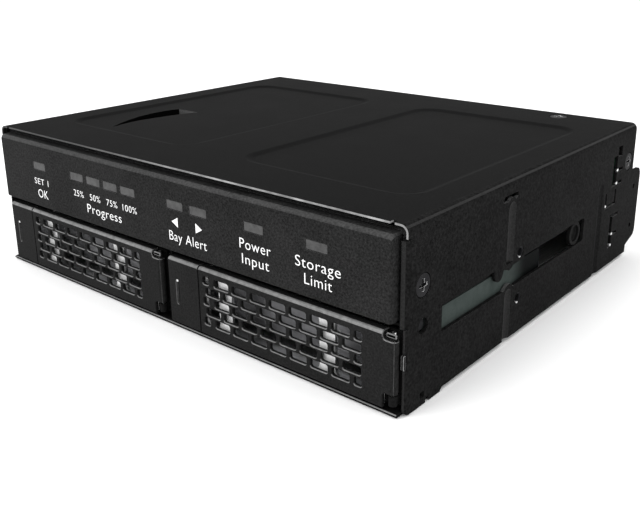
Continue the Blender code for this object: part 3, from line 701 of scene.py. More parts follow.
def is_cut_edge(centre, normal):
    """Bare sheared edge, with a painted highlight, at the front of the top sheet and round the bends."""
    on_front = centre.y < CASE_FRONT + 0.05 and normal.y < -0.8 and centre.z > 38.5
    in_notch = abs(normal.x) > 0.6 and 68.4 < abs(centre.x) < 70.2 and centre.z > CASE_TOP - 0.9
    return on_front or (in_notch and centre.y < at_depth(1.4))


def is_side(centre, _):
    return abs(centre.x) > HALF_WIDTH - BEND_RADIUS


def is_highlight_strip(centre, normal):
    """Flanks of the pressed beads, the wall's rounded front edge and the crest of the bend, which take a
    painted highlight.
    """
    beside = abs(centre.x) > HALF_WIDTH - BEND_RADIUS
    if centre.z > CASE_TOP - BEND_RADIUS and 0.55 < abs(normal.x) < 0.8 and beside:
        return normal.z > 0.5 and centre.y < CASE_BACK
    sunk = 0.02 < HALF_WIDTH - abs(centre.x) < 0.8
    on_bead = abs(centre.y - at_depth(FRONT_BEAD)) < 2.4 and abs(normal.x) > 0.5
    on_front = centre.y < at_depth(0.6) and normal.y < -0.8 and abs(centre.x) > 71.3 and centre.z < 38.0
    return (sunk and on_bead and centre.z < 36.5) or on_front


def is_lanced_lip(centre, normal):
    """Lit cut walls: over and under the beads, in the hooks and at the scoop's rear end."""
    depth = centre.y - CASE_FRONT
    if normal.y < -0.7 and 50.0 < depth < 51.5 and -56.0 < centre.x < -40.0:
        return True
    over = 37.0 < depth < 45.0 and 36.0 < centre.z < 37.1
    under = 39.3 < depth < 45.0 and 14.1 < centre.z < 15.5
    hooks = 98.0 < depth < 110.0 and centre.z < 34.5 and normal.z > 0.8
    return abs(centre.x) > HALF_WIDTH - SHEET and normal.z > 0.3 and (over or under or hooks)


def is_scoop_wall(centre, normal):
    inside = -57.0 < centre.x < -40.0 and 19.0 < centre.y - CASE_FRONT < 50.4
    return inside and centre.z < CASE_TOP - 0.3 and normal.x > 0.5


def bend_thinning():
    """Cutters that thin the front edge of both bends from inside."""
    radius, corner = BEND_RADIUS - THIN_EDGE, (HALF_WIDTH - BEND_RADIUS, CASE_TOP - BEND_RADIUS)
    outline = [(68.0, corner[1] + radius), *arc(corner, radius, 90, 0, 8)]
    outline += [(corner[0] + radius, 38.2), (70.9, 38.2), (70.9, 39.2), (68.0, 39.9)]
    return [prism([(side * x, z) for x, z in outline], "Y", depths(-1.0, 1.0)) for side in (-1, 1)]


def front_rounding():
    """Cutters that round the front edge of each side inwards, below the corner bend."""
    shells = []
    for side in (-1, 1):
        for radius, z in ((1.5, (19.3, 37.9)), (0.7, (-1.0, 19.3))):
            start, end = (270, 360) if side > 0 else (270, 180)
            inner, outer = side * (HALF_WIDTH - radius), side * (HALF_WIDTH + 1)
            outline = arc((inner, at_depth(radius)), radius, start, end, 8)
            outline += [(outer, at_depth(radius)), (outer, at_depth(-1.0)), (inner, at_depth(-1.0))]
            shells.append(prism(outline, "Z", z))
    return shells


def outer_case():
    """The folded case with its panels, beads, hooks and ears."""
    obj = raw_object("case_skin", [prism(case_section(), "Y", (CASE_FRONT, EAR_BACK))])
    cuts, pads = grooves()
    scoop_pad = brick((-56.5, -39.0), depths(18.5, 52.5), (CASE_TOP - 3.2, CASE_TOP - 0.4))
    rims = [brick(pair, depths(0.0, 1.5), (19.3, 37.9)) for pair in ((71.4, 72.6), (-72.6, -71.4))]
    for shell in [*pads, scoop_pad, *rims]:
        combine(obj, [shell], "UNION")
    thin_x = (-CORNER_NOTCH[0], CORNER_NOTCH[0])
    thin_lip = brick(thin_x, depths(-1.0, 2.5), (CASE_TOP - SHEET - 0.2, CASE_TOP - THIN_EDGE))
    top_hole = (TOP_SCREW[0], at_depth(TOP_SCREW[1]))
    holes = side_cutters()
    holes.append(rod("Z", top_hole, HEAD_RADIUS + HEAD_GAP, (CASE_TOP - 2, CASE_TOP + 1)))
    for side in (-1, 1):
        x_span = sorted(side * x for x in CORNER_NOTCH)
        holes.append(brick(x_span, depths(-1.0, 1.2), (CASE_TOP - 1.5, CASE_TOP + 1)))
    panels = [pressed_panel((9.0, 64.0)), pressed_panel((-64.0, -9.0))]
    groups = [[shell] for shell in front_rounding()]
    groups += [[thin_lip], bend_thinning(), panels, [scoop()], ear_cutters(), cuts, holes]
    for shells in groups:
        combine(obj, shells, "DIFFERENCE")
    soften(obj, 0.14, 2, 34)
    others = (CUT_EDGE_AND_HIGHLIGHT, SIDE_LIGHT_AND_SHADE, MILD_HIGHLIGHT, SHADOW_COAT)
    give(obj, "chassis", "case_paint", CASE_COAT, *others, instead_of=["outer_shell"])
    # painted light and shade: the sides take their own copy of the coat
    paint_faces(obj, 3, is_side)
    # painted highlight on the bead flanks, the wall's front edge and the bend's crest
    paint_faces(obj, 4, is_highlight_strip)
    paint_faces(obj, 5, is_scoop_wall)
    paint_faces(obj, 1, is_lanced_lip)
    paint_faces(obj, 2, is_cut_edge, True)


def countersunk(name, axis, centre, face, inward, slot, node):
    """A countersunk cross-recess screw, flush with a face of the case; its rounded edges carry a painted
    highlight and its recess rim painted glints.
    """
    head, shank, arm, half_arm, taper = 1.25, 1.3, 1.35, 0.34, 0.45
    stations = [
        (face + inward * 0.06, HEAD_RADIUS - 0.12),
        (face + inward * 0.18, HEAD_RADIUS),
        (face + inward * head, shank),
        (face + inward * 4.4, shank),
    ]
    obj = make(name, turned(axis, centre, stations, 40))
    for half_a, half_b in ((half_arm, arm), (arm, half_arm)):
        corners = [(-half_a, -half_b), (half_a, -half_b), (half_a, half_b), (-half_a, half_b)]
        rings = []
        for sink, share in ((-0.5, 1.0), (0.1, 1.0), (1.0, taper)):
            outline = [(centre[0] + a * share, centre[1] + b * share) for a, b in corners]
            rings.append([place(axis, a, b, face + inward * sink) for a, b in outline])
        combine(obj, [loft(rings)], "DIFFERENCE")
    soften(obj, 0.1, 2, 30)
    give(obj, "chassis", slot, BLACK_SCREW, SCREW_PLATE, instead_of=[node], edge=MILD_HIGHLIGHT)

    def is_recess_edge(spot, normal):
        along = "XYZ".index(axis)
        across = (spot.y, spot.z) if axis == "X" else (spot.x, spot.y)
        near = math.dist(across, centre) < 1.7 and abs(spot[along] - face) < 0.15
        return near and abs(normal[along]) < 0.97

    # painted glints: bright plate on the rounded edges of the recess
    paint_faces(obj, 2, is_recess_edge, True)


def thread_inserts():
    """Blind threads behind the side mounting holes, with painted glints on their upward faces."""
    pitch, crests, wall, crest_radius, root_radius = 0.28, 4, 1.46, 1.12, 1.34
    for side, word in ((-1, "left"), (1, "right")):
        outer = side * (HALF_WIDTH - 0.12)
        for number, (depth, z) in enumerate(MOUNT_HOLES, 1):
            centre = (at_depth(depth), z)
            stations = [(outer + side, root_radius), (outer, root_radius)]
            for crest in range(crests):
                along = outer - side * pitch * crest
                stations += [(along - side * 0.5 * pitch, crest_radius), (along - side * pitch, root_radius)]
            block = rod("X", centre, wall, (outer, outer - side * 1.3), 36)
            insert = make(f"mount_thread_{word}_{number}", block, (), [turned("X", centre, stations, 36)])
            give(insert, "chassis", "plated_steel", BLACK_SCREW, SCREW_PLATE)
            # painted glints: upward-facing thread faces take the bright plate
            paint_faces(insert, 2, lambda _, normal: normal.z > 0.5 and normal.y < 0.5)


def slot_rings():
    """Flanged ring at the rear end of each long slot."""
    for side, word in ((-1, "left"), (1, "right")):
        centre = (at_depth(79.6), 17.5)
        outer = side * (HALF_WIDTH - 0.25)
        base = rod("X", centre, 3.25, (outer, outer - side * 1.2), 40)
        bore = rod("X", centre, 2.3, (outer + side, outer - side * 0.9), 40)
        ring = make(f"slot_ring_{word}", base, (), [bore], 0.2, 3)
        # the ring's rounded rim takes the lighter door coat as a painted highlight
        give(ring, "chassis", "case_paint", INNER_COAT, edge=DOOR_COAT)


def case_screws():
    """Countersunk screws of the case, and the rivet beside each bay's catch."""
    for word, x, inward in (("right", HALF_WIDTH, -1), ("left", -HALF_WIDTH, 1)):
        for where, (depth, z) in zip(("front", "rear"), SIDE_SCREWS):
            name, node = f"case_screw_{word}_{where}", f"side_screw_{word}_{where}"
            countersunk(name, "X", (at_depth(depth), z), x, inward, "case_paint", node)
        stations = [(x + inward * sink, radius) for sink, radius in ((0.7, 1.1), (0.9, 1.45), (1.7, 1.45))]
        rivet = turned("X", (at_depth(CATCH_RIVET[0]), CATCH_RIVET[1]), stations, 24)
        obj = make(f"bay_rivet_{word}", rivet, (), (), 0.14)
        # painted glint: the rivet's rounded edges take the bright plate
        give(obj, "chassis", "plated_steel", BLACK_SCREW, edge=SCREW_PLATE)
    top = (TOP_SCREW[0], at_depth(TOP_SCREW[1]))
    countersunk("case_screw_top", "Z", top, CASE_TOP, -1, "plated_steel", "top_screw")


def floor_plate():
    """Bottom sheet with a rolled front lip and two upright tabs at the rear."""
    x, y, z = spans("bottom_plate")
    radius, lip = 0.4, FACE + 0.5
    section = arc((lip + radius, radius), radius, 270, 90, 8) + [(y[1], SHEET), (y[1], 0.0)]
    tab_x = ((x[1] - SHEET, x[1]), (x[0], x[0] + SHEET))
    tabs = [brick(side, depths(113.0, 117.1), (0.2, z[1])) for side in tab_x]
    cuts = []
    for column in (-5, -4, -2, -1, 0, 1, 2, 4, 5):
        for row in range(4):
            centre_x, depth = column * 11.0, 30.0 + row * 20.0
            outline = rounded((centre_x - 3.2, centre_x + 3.2), depths(depth - 1.0, depth + 1.0), 0.99, 4)
            cuts.append(prism(outline, "Z", (0.45, 1.0)))
    for side in (-1, 1):
        outline = [(side * 72.6, -0.2), (side * 72.6, 0.75), (side * 72.2, 0.75), (side * 70.2, -0.2)]
        cuts.append(prism(outline, "Y", depths(LIP_START, 125.0)))
    obj = make("floor_plate", prism(section, "X", x), tabs, cuts, 0.1)
    give(obj, "chassis", "case_paint", CASE_COAT, STRONG_HIGHLIGHT, instead_of=["bottom_plate"])

    def is_front_lip(centre, normal):
        return centre.y < FACE + 1.0 and normal.y < -0.3 and normal.z > 0.3

    # painted highlight on the upper front of the rolled lip
    paint_faces(obj, 2, is_front_lip, True)


def hook_tips():
    """Plated ends of the shelf's tabs where they come through the hook slots, made bright as painted glint
    dots.
    """
    places = ((106.2, 29.5), (106.2, 25.6), (99.4, 20.2), (106.2, 10.0), (106.1, 6.6))
    half_depth, half_height = 0.55, 0.42
    for side, word in ((-1, "left"), (1, "right")):
        x = sorted((side * (HALF_WIDTH - 0.9), side * (HALF_WIDTH - 0.08)))
        for number, (depth, z) in enumerate(places, 1):
            y = depths(depth - half_depth, depth + half_depth)
            outline = rounded(y, (z - half_height, z + half_height), 0.3, 4)
            tip = make(f"hook_tip_{word}_{number}", prism(outline, "X", x), (), (), 0.12)
            give(tip, "chassis", "plated_steel", SCREW_PLATE)


def catch_bracket():
    """Small plate on the front edge of the right side, beside the hinge pin."""
    outline = rounded((10.7, 14.0), depths(-0.65, 0.15), 0.3, 3)
    plate = make("catch_bracket", prism([(y, z) for z, y in outline], "X", (72.25, 72.95)), (), (), 0.12)
    # the bracket's rounded edges carry the strong painted highlight
    give(plate, "chassis", "plated_steel", DOOR_COAT, edge=STRONG_HIGHLIGHT)


# ---------------------------------------------------------------- front panel

WINDOW_X = (-51.5, -33.5, -26.1, -18.8, -11.5, 6.7, 15.0, 33.2, 51.5)
WINDOW_MIDDLE = 32.6
PANEL_FACE = FACE + 0.06


def window_outline(centre, half_width, half_height, corner):
    """Outline of a window, or of the lens nose in it."""
    x = (centre - half_width, centre + half_width)
    return rounded(x, (WINDOW_MIDDLE - half_height, WINDOW_MIDDLE + half_height), corner, 4)


def bezel():
    """Moulded front panel with soft edges and nine flush windows."""
    radius, corner, wall = 1.3, 0.7, 1.8
    x = (-BEZEL_HALF + 1.2, BEZEL_HALF - 1.2)
    z = (BEZEL_Z[0], BEZEL_Z[1] - 0.45)
    rings = []
    for degrees in (0, 15, 30, 45, 60, 75, 90):
        angle = math.radians(degrees)
        inset = radius * (1 - math.sin(angle))
        y = PANEL_FACE + radius * (1 - math.cos(angle))
        side_inset, low_inset = inset * 0.35, inset * 0.3
        x_span = (x[0] + side_inset, x[1] - side_inset)
        outline = rounded(x_span, (z[0] + low_inset, z[1] - inset), corner - low_inset, 6)
        rings.append([(a, y, b) for a, b in outline])
    front = rounded(x, z, corner, 6)
    flange = rounded((-BEZEL_HALF, BEZEL_HALF), BEZEL_Z, 0.9, 6)
    step = at_depth(1.75)
    for outline, y in ((front, step), (flange, step + 0.02), (flange, BEZEL_BACK)):
        rings.append([(a, y, b) for a, b in outline])
    inside = brick((x[0] + 2.4, x[1] - 2.4), (PANEL_FACE + 1.6, 0.0), (BEZEL_Z[0] + wall, BEZEL_Z[1] - wall))
    window_y = (FACE - 1, PANEL_FACE + 2.2)
    windows = [prism(window_outline(centre, 2.98, 1.13, 0.3), "Y", window_y) for centre in WINDOW_X]
    screw = (at_depth(SIDE_SCREWS[0][0]), SIDE_SCREWS[0][1])
    screw_holes = [rod("X", screw, 1.6, pair, 20) for pair in ((60.0, 74.0), (-74.0, -60.0))]
    obj = raw_object("panel_skin", [loft(rings)])
    for shells in ([inside], windows, screw_holes):
        combine(obj, shells, "DIFFERENCE")
    soften(obj, 0.07, 2, 40)
    give(obj, "chassis", "bezel_plastic", BEZEL_COAT, SOFT_HIGHLIGHT, instead_of=["front_bezel"])
    # painted highlight along the bezel's rounded top edge
    paint_faces(obj, 2, lambda centre, normal: 0.2 < normal.z < 0.97 and centre.z > BEZEL_Z[1] - 2.0)


def lens_bar():
    """Light pipe with a slightly sunk, soft-edged nose in each window."""
    x, (_, back), z = spans("light_pipe")
    nose_y = (PANEL_FACE + 0.1, back - 1.2)
    noses = [prism(window_outline(centre, 2.94, 1.09, 0.28), "Y", nose_y) for centre in WINDOW_X]
    obj = make("lens_bar", brick(x, (back - 1.8, back), z), noses, (), 0.12)
    give(obj, "chassis", "lens", LENS, instead_of=["light_pipe"])


def printed(name, words, cap_height, centre_x, base_z, width):
    """White lettering on the panel: generic words and plain numbers."""
    cap_share, thickness, lift = 0.73, 0.015, 0.022
    curve = bpy.data.curves.new(name, "FONT")
    curve.body = words
    curve.align_x = "CENTER"
    curve.size = cap_height / cap_share * MM
    curve.extrude = thickness * MM
    curve.offset = -0.012 * cap_height * MM
    curve.space_character = 1.08
    curve.resolution_u = 4
    text = add_object(name, curve)
    graph = bpy.context.evaluated_depsgraph_get()
    mesh = bpy.data.meshes.new_from_object(text.evaluated_get(graph))
    bpy.data.objects.remove(text, do_unlink=True)
    obj = add_object(name, mesh)
    xs = [vertex.co.x for vertex in mesh.vertices]
    narrow = Matrix.Diagonal((width * MM / (max(xs) - min(xs)), 1.0, 1.0, 1.0))
    mesh.transform(Matrix.Translation((-(max(xs) + min(xs)) / 2, 0.0, 0.0)))
    mesh.transform(Matrix.Rotation(math.radians(90), 4, "X") @ narrow)
    mesh.transform(Matrix.Translation(Vector((centre_x, PANEL_FACE - lift, base_z)) * MM))
    give(obj, "chassis", "bezel_plastic", INK)


def arrow(name, x, direction):
    """A printed triangle that points left or right."""
    half = 1.1
    outline = [(x - direction * half, 27.25), (x + direction * half, 28.5), (x - direction * half, 29.75)]
    obj = make(name, prism(outline, "Y", (PANEL_FACE - 0.037, PANEL_FACE - 0.007)))
    give(obj, "chassis", "bezel_plastic", INK)


def panel_print():
    """Every printed word and number of the front panel."""
    small, large = 1.85, 2.6
    left_words = (
        ("print_set", "SET 1", small, -51.0, 27.3, 6.8),
        ("print_ok", "OK", large, -50.8, 23.4, 4.9),
        ("print_share_1", "25%", small, -33.0, 27.3, 4.5),
        ("print_share_2", "50%", small, -25.6, 27.3, 4.5),
        ("print_share_3", "75%", small, -18.3, 27.3, 4.5),
        ("print_share_4", "100%", small, -10.9, 27.3, 5.7),
        ("print_progress", "Progress", large, -22.1, 23.6, 14.8),
    )
    right_words = (
        ("print_bay", "Bay Alert", large, 11.0, 23.6, 13.4),
        ("print_power", "Power", large, 33.6, 27.2, 9.6),
        ("print_input", "Input", large, 33.6, 23.6, 8.4),
        ("print_storage", "Storage", large, 51.8, 27.2, 12.4),
        ("print_limit", "Limit", large, 51.9, 23.6, 7.6),
    )
    for row in left_words:
        printed(*row)
    arrow("print_arrow_left", 6.6, -1)
    arrow("print_arrow_right", 15.2, 1)
    for row in right_words:
        printed(*row)


# ---------------------------------------------------------------- trays

LATCH_X, (_, LATCH_BACK), TRAY_Z = spans("latch_right")
DOOR_LEFT = span("door_right", "x")[0]
JOINTS = {joint["name"]: joint for joint in frame["record"]["behaviour"]["joints"]}
HINGE_X, HINGE_Y = (value / MM for value in JOINTS["door_right_swing"]["pos_m"][:2])
BARREL_Z = (5.1, 17.1)
STEM = (8.5, 10.0)
SLOT_ROWS = (14.8, 12.1, 9.5, 6.9, 4.3)
SLOT_PITCH = 6.0


def rolled_front(x):
    """Front skin with a rolled top edge, carried along X."""
    low, high = TRAY_Z
    radius, back = 0.9, FACE + 1.0
    section = [(FACE, low + 0.3), (FACE, high - radius)]
    section += arc((FACE + radius, high - radius), radius, 180, 90, 8)
    section += [(FACE + 2.4, high), (FACE + 2.4, high - 0.5), (back + 0.3, high - 0.62)]
    section += [(back, high - 1.1), (back, low), (FACE + 0.3, low)]
    return prism(section, "X", x)


def is_rolled_edge(centre, normal):
    return centre.z > TRAY_Z[1] - 0.9 and normal.z > 0.25 and normal.y < -0.25


def is_shaded_rim(centre, normal):
    """Rounded rims that face down or sideways, below the rolled edge."""
    return normal.z < 0.2 and centre.z < TRAY_Z[1] - 1.2


def is_lit_rim(centre, normal):
    """Rounded lower lips of the slots, which face up and forwards."""
    return 0.3 < normal.z < 0.98 and normal.y < -0.15 and centre.z < TRAY_Z[1] - 1.2


def slot_outlines(shift):
    """Outlines of the staggered grille slots, in X and Z."""
    grille, middle, half_width, end_width, height = (15.5, 63.5), 39.8, 2.45, 2.1, 2.0
    outlines = []
    for row, low in enumerate(SLOT_ROWS):
        count = 8 if row % 2 else 7
        centres = [middle + SLOT_PITCH * (index - (count - 1) / 2) for index in range(count)]
        pairs = [(centre - half_width, centre + half_width) for centre in centres]
        if count == 7:
            pairs += [(grille[0], grille[0] + end_width), (grille[1] - end_width, grille[1])]
        outlines += [rounded(shifted(pair, shift), (low, low + height), 0.55, 4) for pair in pairs]
    return outlines


def is_door_end(centre, normal, shift):
    """Front quarter of the round hinge end of a door, which takes a painted highlight."""
    facing = 0.55 < normal.x < 0.7 and normal.y < -0.3
    return facing and centre.x > HINGE_X + 0.2 + shift and BARREL_Z[0] < centre.z < BARREL_Z[1]


def finish_front(obj, node, *coats):
    """Body, coats and edge colours that the doors and the latch plates share: painted highlights on the
    rolled edge and on rims that face up and forwards.
    """
    give(obj, f"{node}_body", "bezel_plastic", DOOR_COAT, STRONG_HIGHLIGHT, *coats, instead_of=[node])
    paint_faces(obj, 0, is_shaded_rim, True)
    paint_faces(obj, 2, is_lit_rim, True)
    paint_faces(obj, 2, is_rolled_edge)


def door(side, shift):
    """Grille door: rolled top edge, staggered slots, notched hinge end and barrel."""
    hinge = (HINGE_X + shift, HINGE_Y)
    (left, right), (low, high), corner = shifted((68.7, 75.0), shift), BARREL_Z, 0.8
    obj = raw_object(f"door_skin_{side}", [rolled_front(shifted((DOOR_LEFT, HINGE_X), shift))])
    combine(obj, [rod("Z", hinge, 1.1, BARREL_Z, 32)], "UNION")
    upper = [(right, 19.5), (left, 19.5), (left, high + corner)]
    upper += arc((left + corner, high + corner), corner, 180, 270, 5) + [(right, high)]
    lower = [(right, 0.5), (right, low)]
    lower += arc((left + corner, low - corner), corner, 90, 180, 5) + [(left, 0.5)]
    notches = [prism(outline, "Y", (FACE - 1, FACE + 3.5)) for outline in (upper, lower)]
    slots = [prism(outline, "Y", (FACE - 1, FACE + 1.6)) for outline in slot_outlines(shift)]
    for shells in (notches, [rod("Z", hinge, 0.6, (4.0, 18.0), 24)], slots):
        combine(obj, shells, "DIFFERENCE")
    soften(obj, 0.2, 2, 36, clamp=False)
    finish_front(obj, f"door_{side}", SOFT_HIGHLIGHT)
    # painted highlight on the front quarter of the door's round hinge end
    paint_faces(obj, 3, lambda centre, normal: is_door_end(centre, normal, shift), True)


def latch(side, shift):
    """Push plate with a finger groove and a stem behind it."""
    groove_x, groove_z, rim = (5.6, 6.6), (6.9, 13.5), 0.2
    obj = raw_object(f"latch_plate_{side}", [rolled_front(shifted(LATCH_X, shift))])
    combine(obj, [rod("Y", (STEM[0] + shift, STEM[1]), 2.0, (FACE + 0.5, LATCH_BACK), 32)], "UNION")
    groove = rounded(shifted(groove_x, shift), groove_z, 0.45, 5)
    combine(obj, [prism(groove, "Y", (FACE - 1, FACE + 0.6))], "DIFFERENCE")
    soften(obj, 0.12, 2, 36)
    finish_front(obj, f"latch_{side}", SHADOW_COAT)

    def in_groove(centre):
        beside = abs(centre.x - sum(groove_x) / 2 - shift) < 0.65
        return beside and groove_z[0] - rim < centre.z < groove_z[1] + rim

    def is_groove_wall(centre, normal):
        return in_groove(centre) and (centre.y > FACE + 0.1 or normal.x < -0.1)

    paint_faces(obj, 3, is_groove_wall, True)
    # painted highlight on the groove's left wall
    paint_faces(obj, 1, lambda centre, normal: in_groove(centre) and normal.x > 0.3, True)
    # painted glint: a small bright pip at the top of the finger groove
    stations = [(FACE + 0.6, 0.34), (FACE + 0.14, 0.34), (FACE + 0.03, 0.16)]
    glint_pip = make(f"latch_glint_{side}", turned("Y", (5.98 + shift, 13.1), stations, 20), (), (), 0.05)
    give(glint_pip, f"latch_{side}_body", "plated_steel", GLINT_PLATE)


def spring(side, shift):
    """Coil spring round the latch's stem."""
    turns, steps, half_wire, radius = 3.0, 20, 0.17, 2.85
    low, high = span(f"latch_spring_{side}", "y")
    curve = bpy.data.curves.new(f"latch_coil_{side}", "CURVE")
    curve.dimensions = "3D"
    curve.bevel_depth = half_wire * MM
    curve.bevel_resolution = 3
    curve.use_fill_caps = True
    spline = curve.splines.new("POLY")
    count = int(turns * steps) + 1
    spline.points.add(count - 1)
    for index in range(count):
        angle = 2 * math.pi * index / steps
        along = low + half_wire + (high - low - 2 * half_wire) * index / (count - 1)
        point = (STEM[0] + shift + radius * math.cos(angle), along, STEM[1] + radius * math.sin(angle))
        spline.points[index].co = (*(value * MM for value in point), 1.0)
    obj = add_object(f"latch_coil_{side}", curve)
    curve.materials.append(SCREW_PLATE)
    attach(obj, f"tray_{side}_body")
    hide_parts(f"latch_spring_{side}")


def drive_screw_centres(side):
    """Centres of a tray's four drive screws, in X and Y."""
    for number in range(1, 5):
        x, y, _ = spans(f"drive_screw_{side}_{number}")
        yield sum(x) / 2, sum(y) / 2


def tray_openings(side, shift):
    """Cutters for the tray's front windows, holes and floor slots."""
    windows = [
        prism(rounded(shifted(pair, shift), (3.9, 16.6), 1.2, 5), "Y", depths(-2.0, 1.3))
        for pair in ((15.8, 19.6), (24.0, 51.0), (55.4, 65.0))
    ]
    holes = [rod("Z", (HINGE_X + shift, HINGE_Y), 0.6, (0.0, 20.0), 24)]
    holes.append(rod("Y", (STEM[0] + shift, STEM[1]), 2.3, depths(2.0, 3.0), 24))
    holes += [rod("Z", centre, 1.7, (1.0, 3.5), 20) for centre in drive_screw_centres(side)]
    for depth in (24.0, 38.0, 52.0, 66.0, 80.0):
        for x in (20.2, 37.2, 54.2):
            outline = rounded(shifted((x - 5.5, x + 5.5), shift), depths(depth - 2.5, depth + 2.5), 2.4, 5)
            holes.append(prism(outline, "Z", (1.5, 3.2)))
    return windows, holes


def tray(side, shift):
    """Plated tray: slotted floor, windowed front wall, hinge ears and latch bracket."""
    body, floor_z, wall_z = f"tray_{side}_body", (2.0, 2.5), (2.2, 17.9)
    obj = raw_object(f"tray_pan_{side}", [brick(shifted((3.2, 71.2), shift), depths(0.9, 104.0), floor_z)])
    joins = [
        brick(shifted(x, shift), depths(*pair), z)
        for x, pair, z in (
            ((14.6, 68.5), (-0.7, 1.4), floor_z),
            ((14.6, 68.5), (-0.7, 0.1), wall_z),
            ((66.0, 68.9), (-0.3, 1.2), wall_z),
            ((68.5, 71.6), (0.5, 1.2), (2.2, 18.8)),
            ((4.5, 12.5), (2.2, 2.8), (2.2, 15.0)),
        )
    ]
    for z in ((2.5, 4.8), (17.3, 18.3)):
        joins.append(brick(shifted((69.6, 71.4), shift), (HINGE_Y, at_depth(0.8)), z))
        joins.append(rod("Z", (HINGE_X + shift, HINGE_Y), 0.95, z, 32))
    for shell in joins:
        combine(obj, [shell], "UNION")
    for shells in tray_openings(side, shift):
        combine(obj, shells, "DIFFERENCE")
    soften(obj, 0.1, 2, 36)
    give(obj, body, "plated_steel", BRIGHT_PLATE, INNER_COAT, GLINT_PLATE, instead_of=[f"tray_{side}"])

    def is_front_wall(centre, normal):
        return normal.y < -0.5 and centre.y < at_depth(0.5) and centre.z > 2.5

    # painted glints: the front wall seen through the grille takes the whiter plate
    paint_faces(obj, 3, is_front_wall, True)
    # painted shade: the hinge end of the front wall takes the dark inner coat
    paint_faces(obj, 2, lambda centre, _: centre.x > 65.9 + shift and centre.y < at_depth(1.4), True)
    # hinge plate: painted shade on its face, painted highlight on its rounded front edges
    plate = brick(shifted((69.6, 72.0), shift), (FACE + 0.04, FACE + 0.48), (17.95, 18.88))
    plate = make(f"hinge_plate_{side}", plate, (), (), 0.2)
    give(plate, body, "plated_steel", SHADOW_COAT, edge=STRONG_HIGHLIGHT)


def drive_details(side):
    """What shows of a drive when its tray is out: lid with pressed rings, label and screws."""
    body = f"tray_{side}_body"
    x, y, (low, high) = spans(f"drive_lid_{side}")
    middle, inset = (sum(x) / 2, y[0] + 40.0), 3.2
    lid = raw_object(f"drive_cover_{side}", [prism(rounded(x, y, 3.0, 6), "Z", (low, high - 0.12))])
    combine(lid, [prism(arc(middle, 30.5, 0, 354, 59), "Z", (high - 0.3, high))], "UNION")
    combine(lid, [prism(arc(middle, 27.5, 0, 354, 59), "Z", (high - 0.14, high + 1))], "DIFFERENCE")
    places = [(a, b) for b in (y[0] + inset, y[1] - inset) for a in (x[0] + inset, x[1] - inset)]
    places += [(a, sum(y) / 2 + 6) for a in (x[0] + 3.0, x[1] - 3.0)]
    combine(lid, [rod("Z", spot, 1.9, (high - 0.32, high + 1), 20) for spot in places], "DIFFERENCE")
    soften(lid, 0.08, 2, 36)
    give(lid, body, "cast_aluminium", LID_STEEL, instead_of=[f"drive_lid_{side}"])
    stations = [(high - 0.3, 1.6), (high - 0.1, 1.6), (high - 0.02, 1.35)]
    for number, spot in enumerate(places, 1):
        star = prism(arc(spot, 0.75, 0, 300, 5), "Z", (high - 0.2, high + 1))
        screw = make(f"cover_screw_{side}_{number}", turned("Z", spot, stations, 24), (), [star])
        give(screw, body, "plated_steel", SCREW_PLATE)
    outline = rounded((middle[0] - 22.0, middle[0] + 22.0), (middle[1] + 33.0, y[1] - 4.0), 1.2, 5)
    label = make(f"cover_label_{side}", prism(outline, "Z", (high - 0.15, high - 0.04)))
    give(label, body, "cast_aluminium", PALE_LABEL)


def drive_casting(side):
    """The drive's casting, with round corners, screw holes and two front recesses."""
    x, y, z = spans(f"drive_case_{side}")
    obj = raw_object(f"drive_body_{side}", [prism(rounded(x, y, 2.0, 6), "Z", z)])
    cuts = [rod("Z", centre, 1.5, (z[0] - 1, z[0] + 3.2), 20) for centre in drive_screw_centres(side)]
    for end in x:
        for depth in (14.0, 90.0):
            cuts.append(rod("X", (y[0] + depth, z[0] + 3.0), 1.3, (end - 1.5, end + 1.5), 20))
    for pair in ((x[0] + 8, x[0] + 26), (x[1] - 26, x[1] - 8)):
        cuts.append(brick(pair, (y[0] - 1, y[0] + 0.9), (z[0] + 2.2, z[1] - 1.8)))
    combine(obj, cuts, "DIFFERENCE")
    soften(obj, 0.25, 3, 36)
    give(obj, f"tray_{side}_body", "cast_aluminium", CASTING, instead_of=[f"drive_case_{side}"])


# ---------------------------------------------------------------- inside and rear

def restyle(material, *names):
    """Gives CAD nodes that keep their shape a finished material."""
    for name in names:
        obj = frame["nodes"][name]
        if obj.material_slots:
            for material_slot in obj.material_slots:
                material_slot.material = material
        else:
            obj.data.materials.append(material)


def rear_contacts():
    """Contact pads in the two host ports and bright tips on the power inlet's pins."""
    contact_pitch, pin_pitch = 1.27, 5.08
    for letter in "ab":
        x, (_, back), z = spans(f"host_port_{letter}")
        middle_x, middle_z = sum(x) / 2, sum(z) / 2
        y = (back - 2.6, back - 0.5)
        tongue = brick((middle_x - 4.9, middle_x + 4.9), y, (middle_z - 0.6, middle_z + 0.2))
        tongue = make(f"port_tongue_{letter}", tongue, (), (), 0.1)
        give(tongue, "chassis", "bezel_plastic", BLACK_ABS)
        for number in range(1, 8):
            x = middle_x + (number - 4) * contact_pitch
            pad = brick((x - 0.34, x + 0.34), (y[0], y[1] - 0.25), (middle_z + 0.15, middle_z + 0.28))
            pad = make(f"port_contact_{letter}_{number}", pad, (), (), 0.04)
            give(pad, "chassis", "plated_steel", GOLD_CONTACT)
    x, _, z = spans("power_inlet")
    stations = [(at_depth(114.9), 0.98), (at_depth(116.4), 0.98), (at_depth(116.75), 0.6)]
    for number in range(1, 5):
        centre = (sum(x) / 2 + pin_pitch * (number - 2.5), sum(z) / 2)
        pin = make(f"inlet_pin_{number}", turned("Y", centre, stations, 24), (), (), 0.08)
        give(pin, "chassis", "plated_steel", SCREW_PLATE)


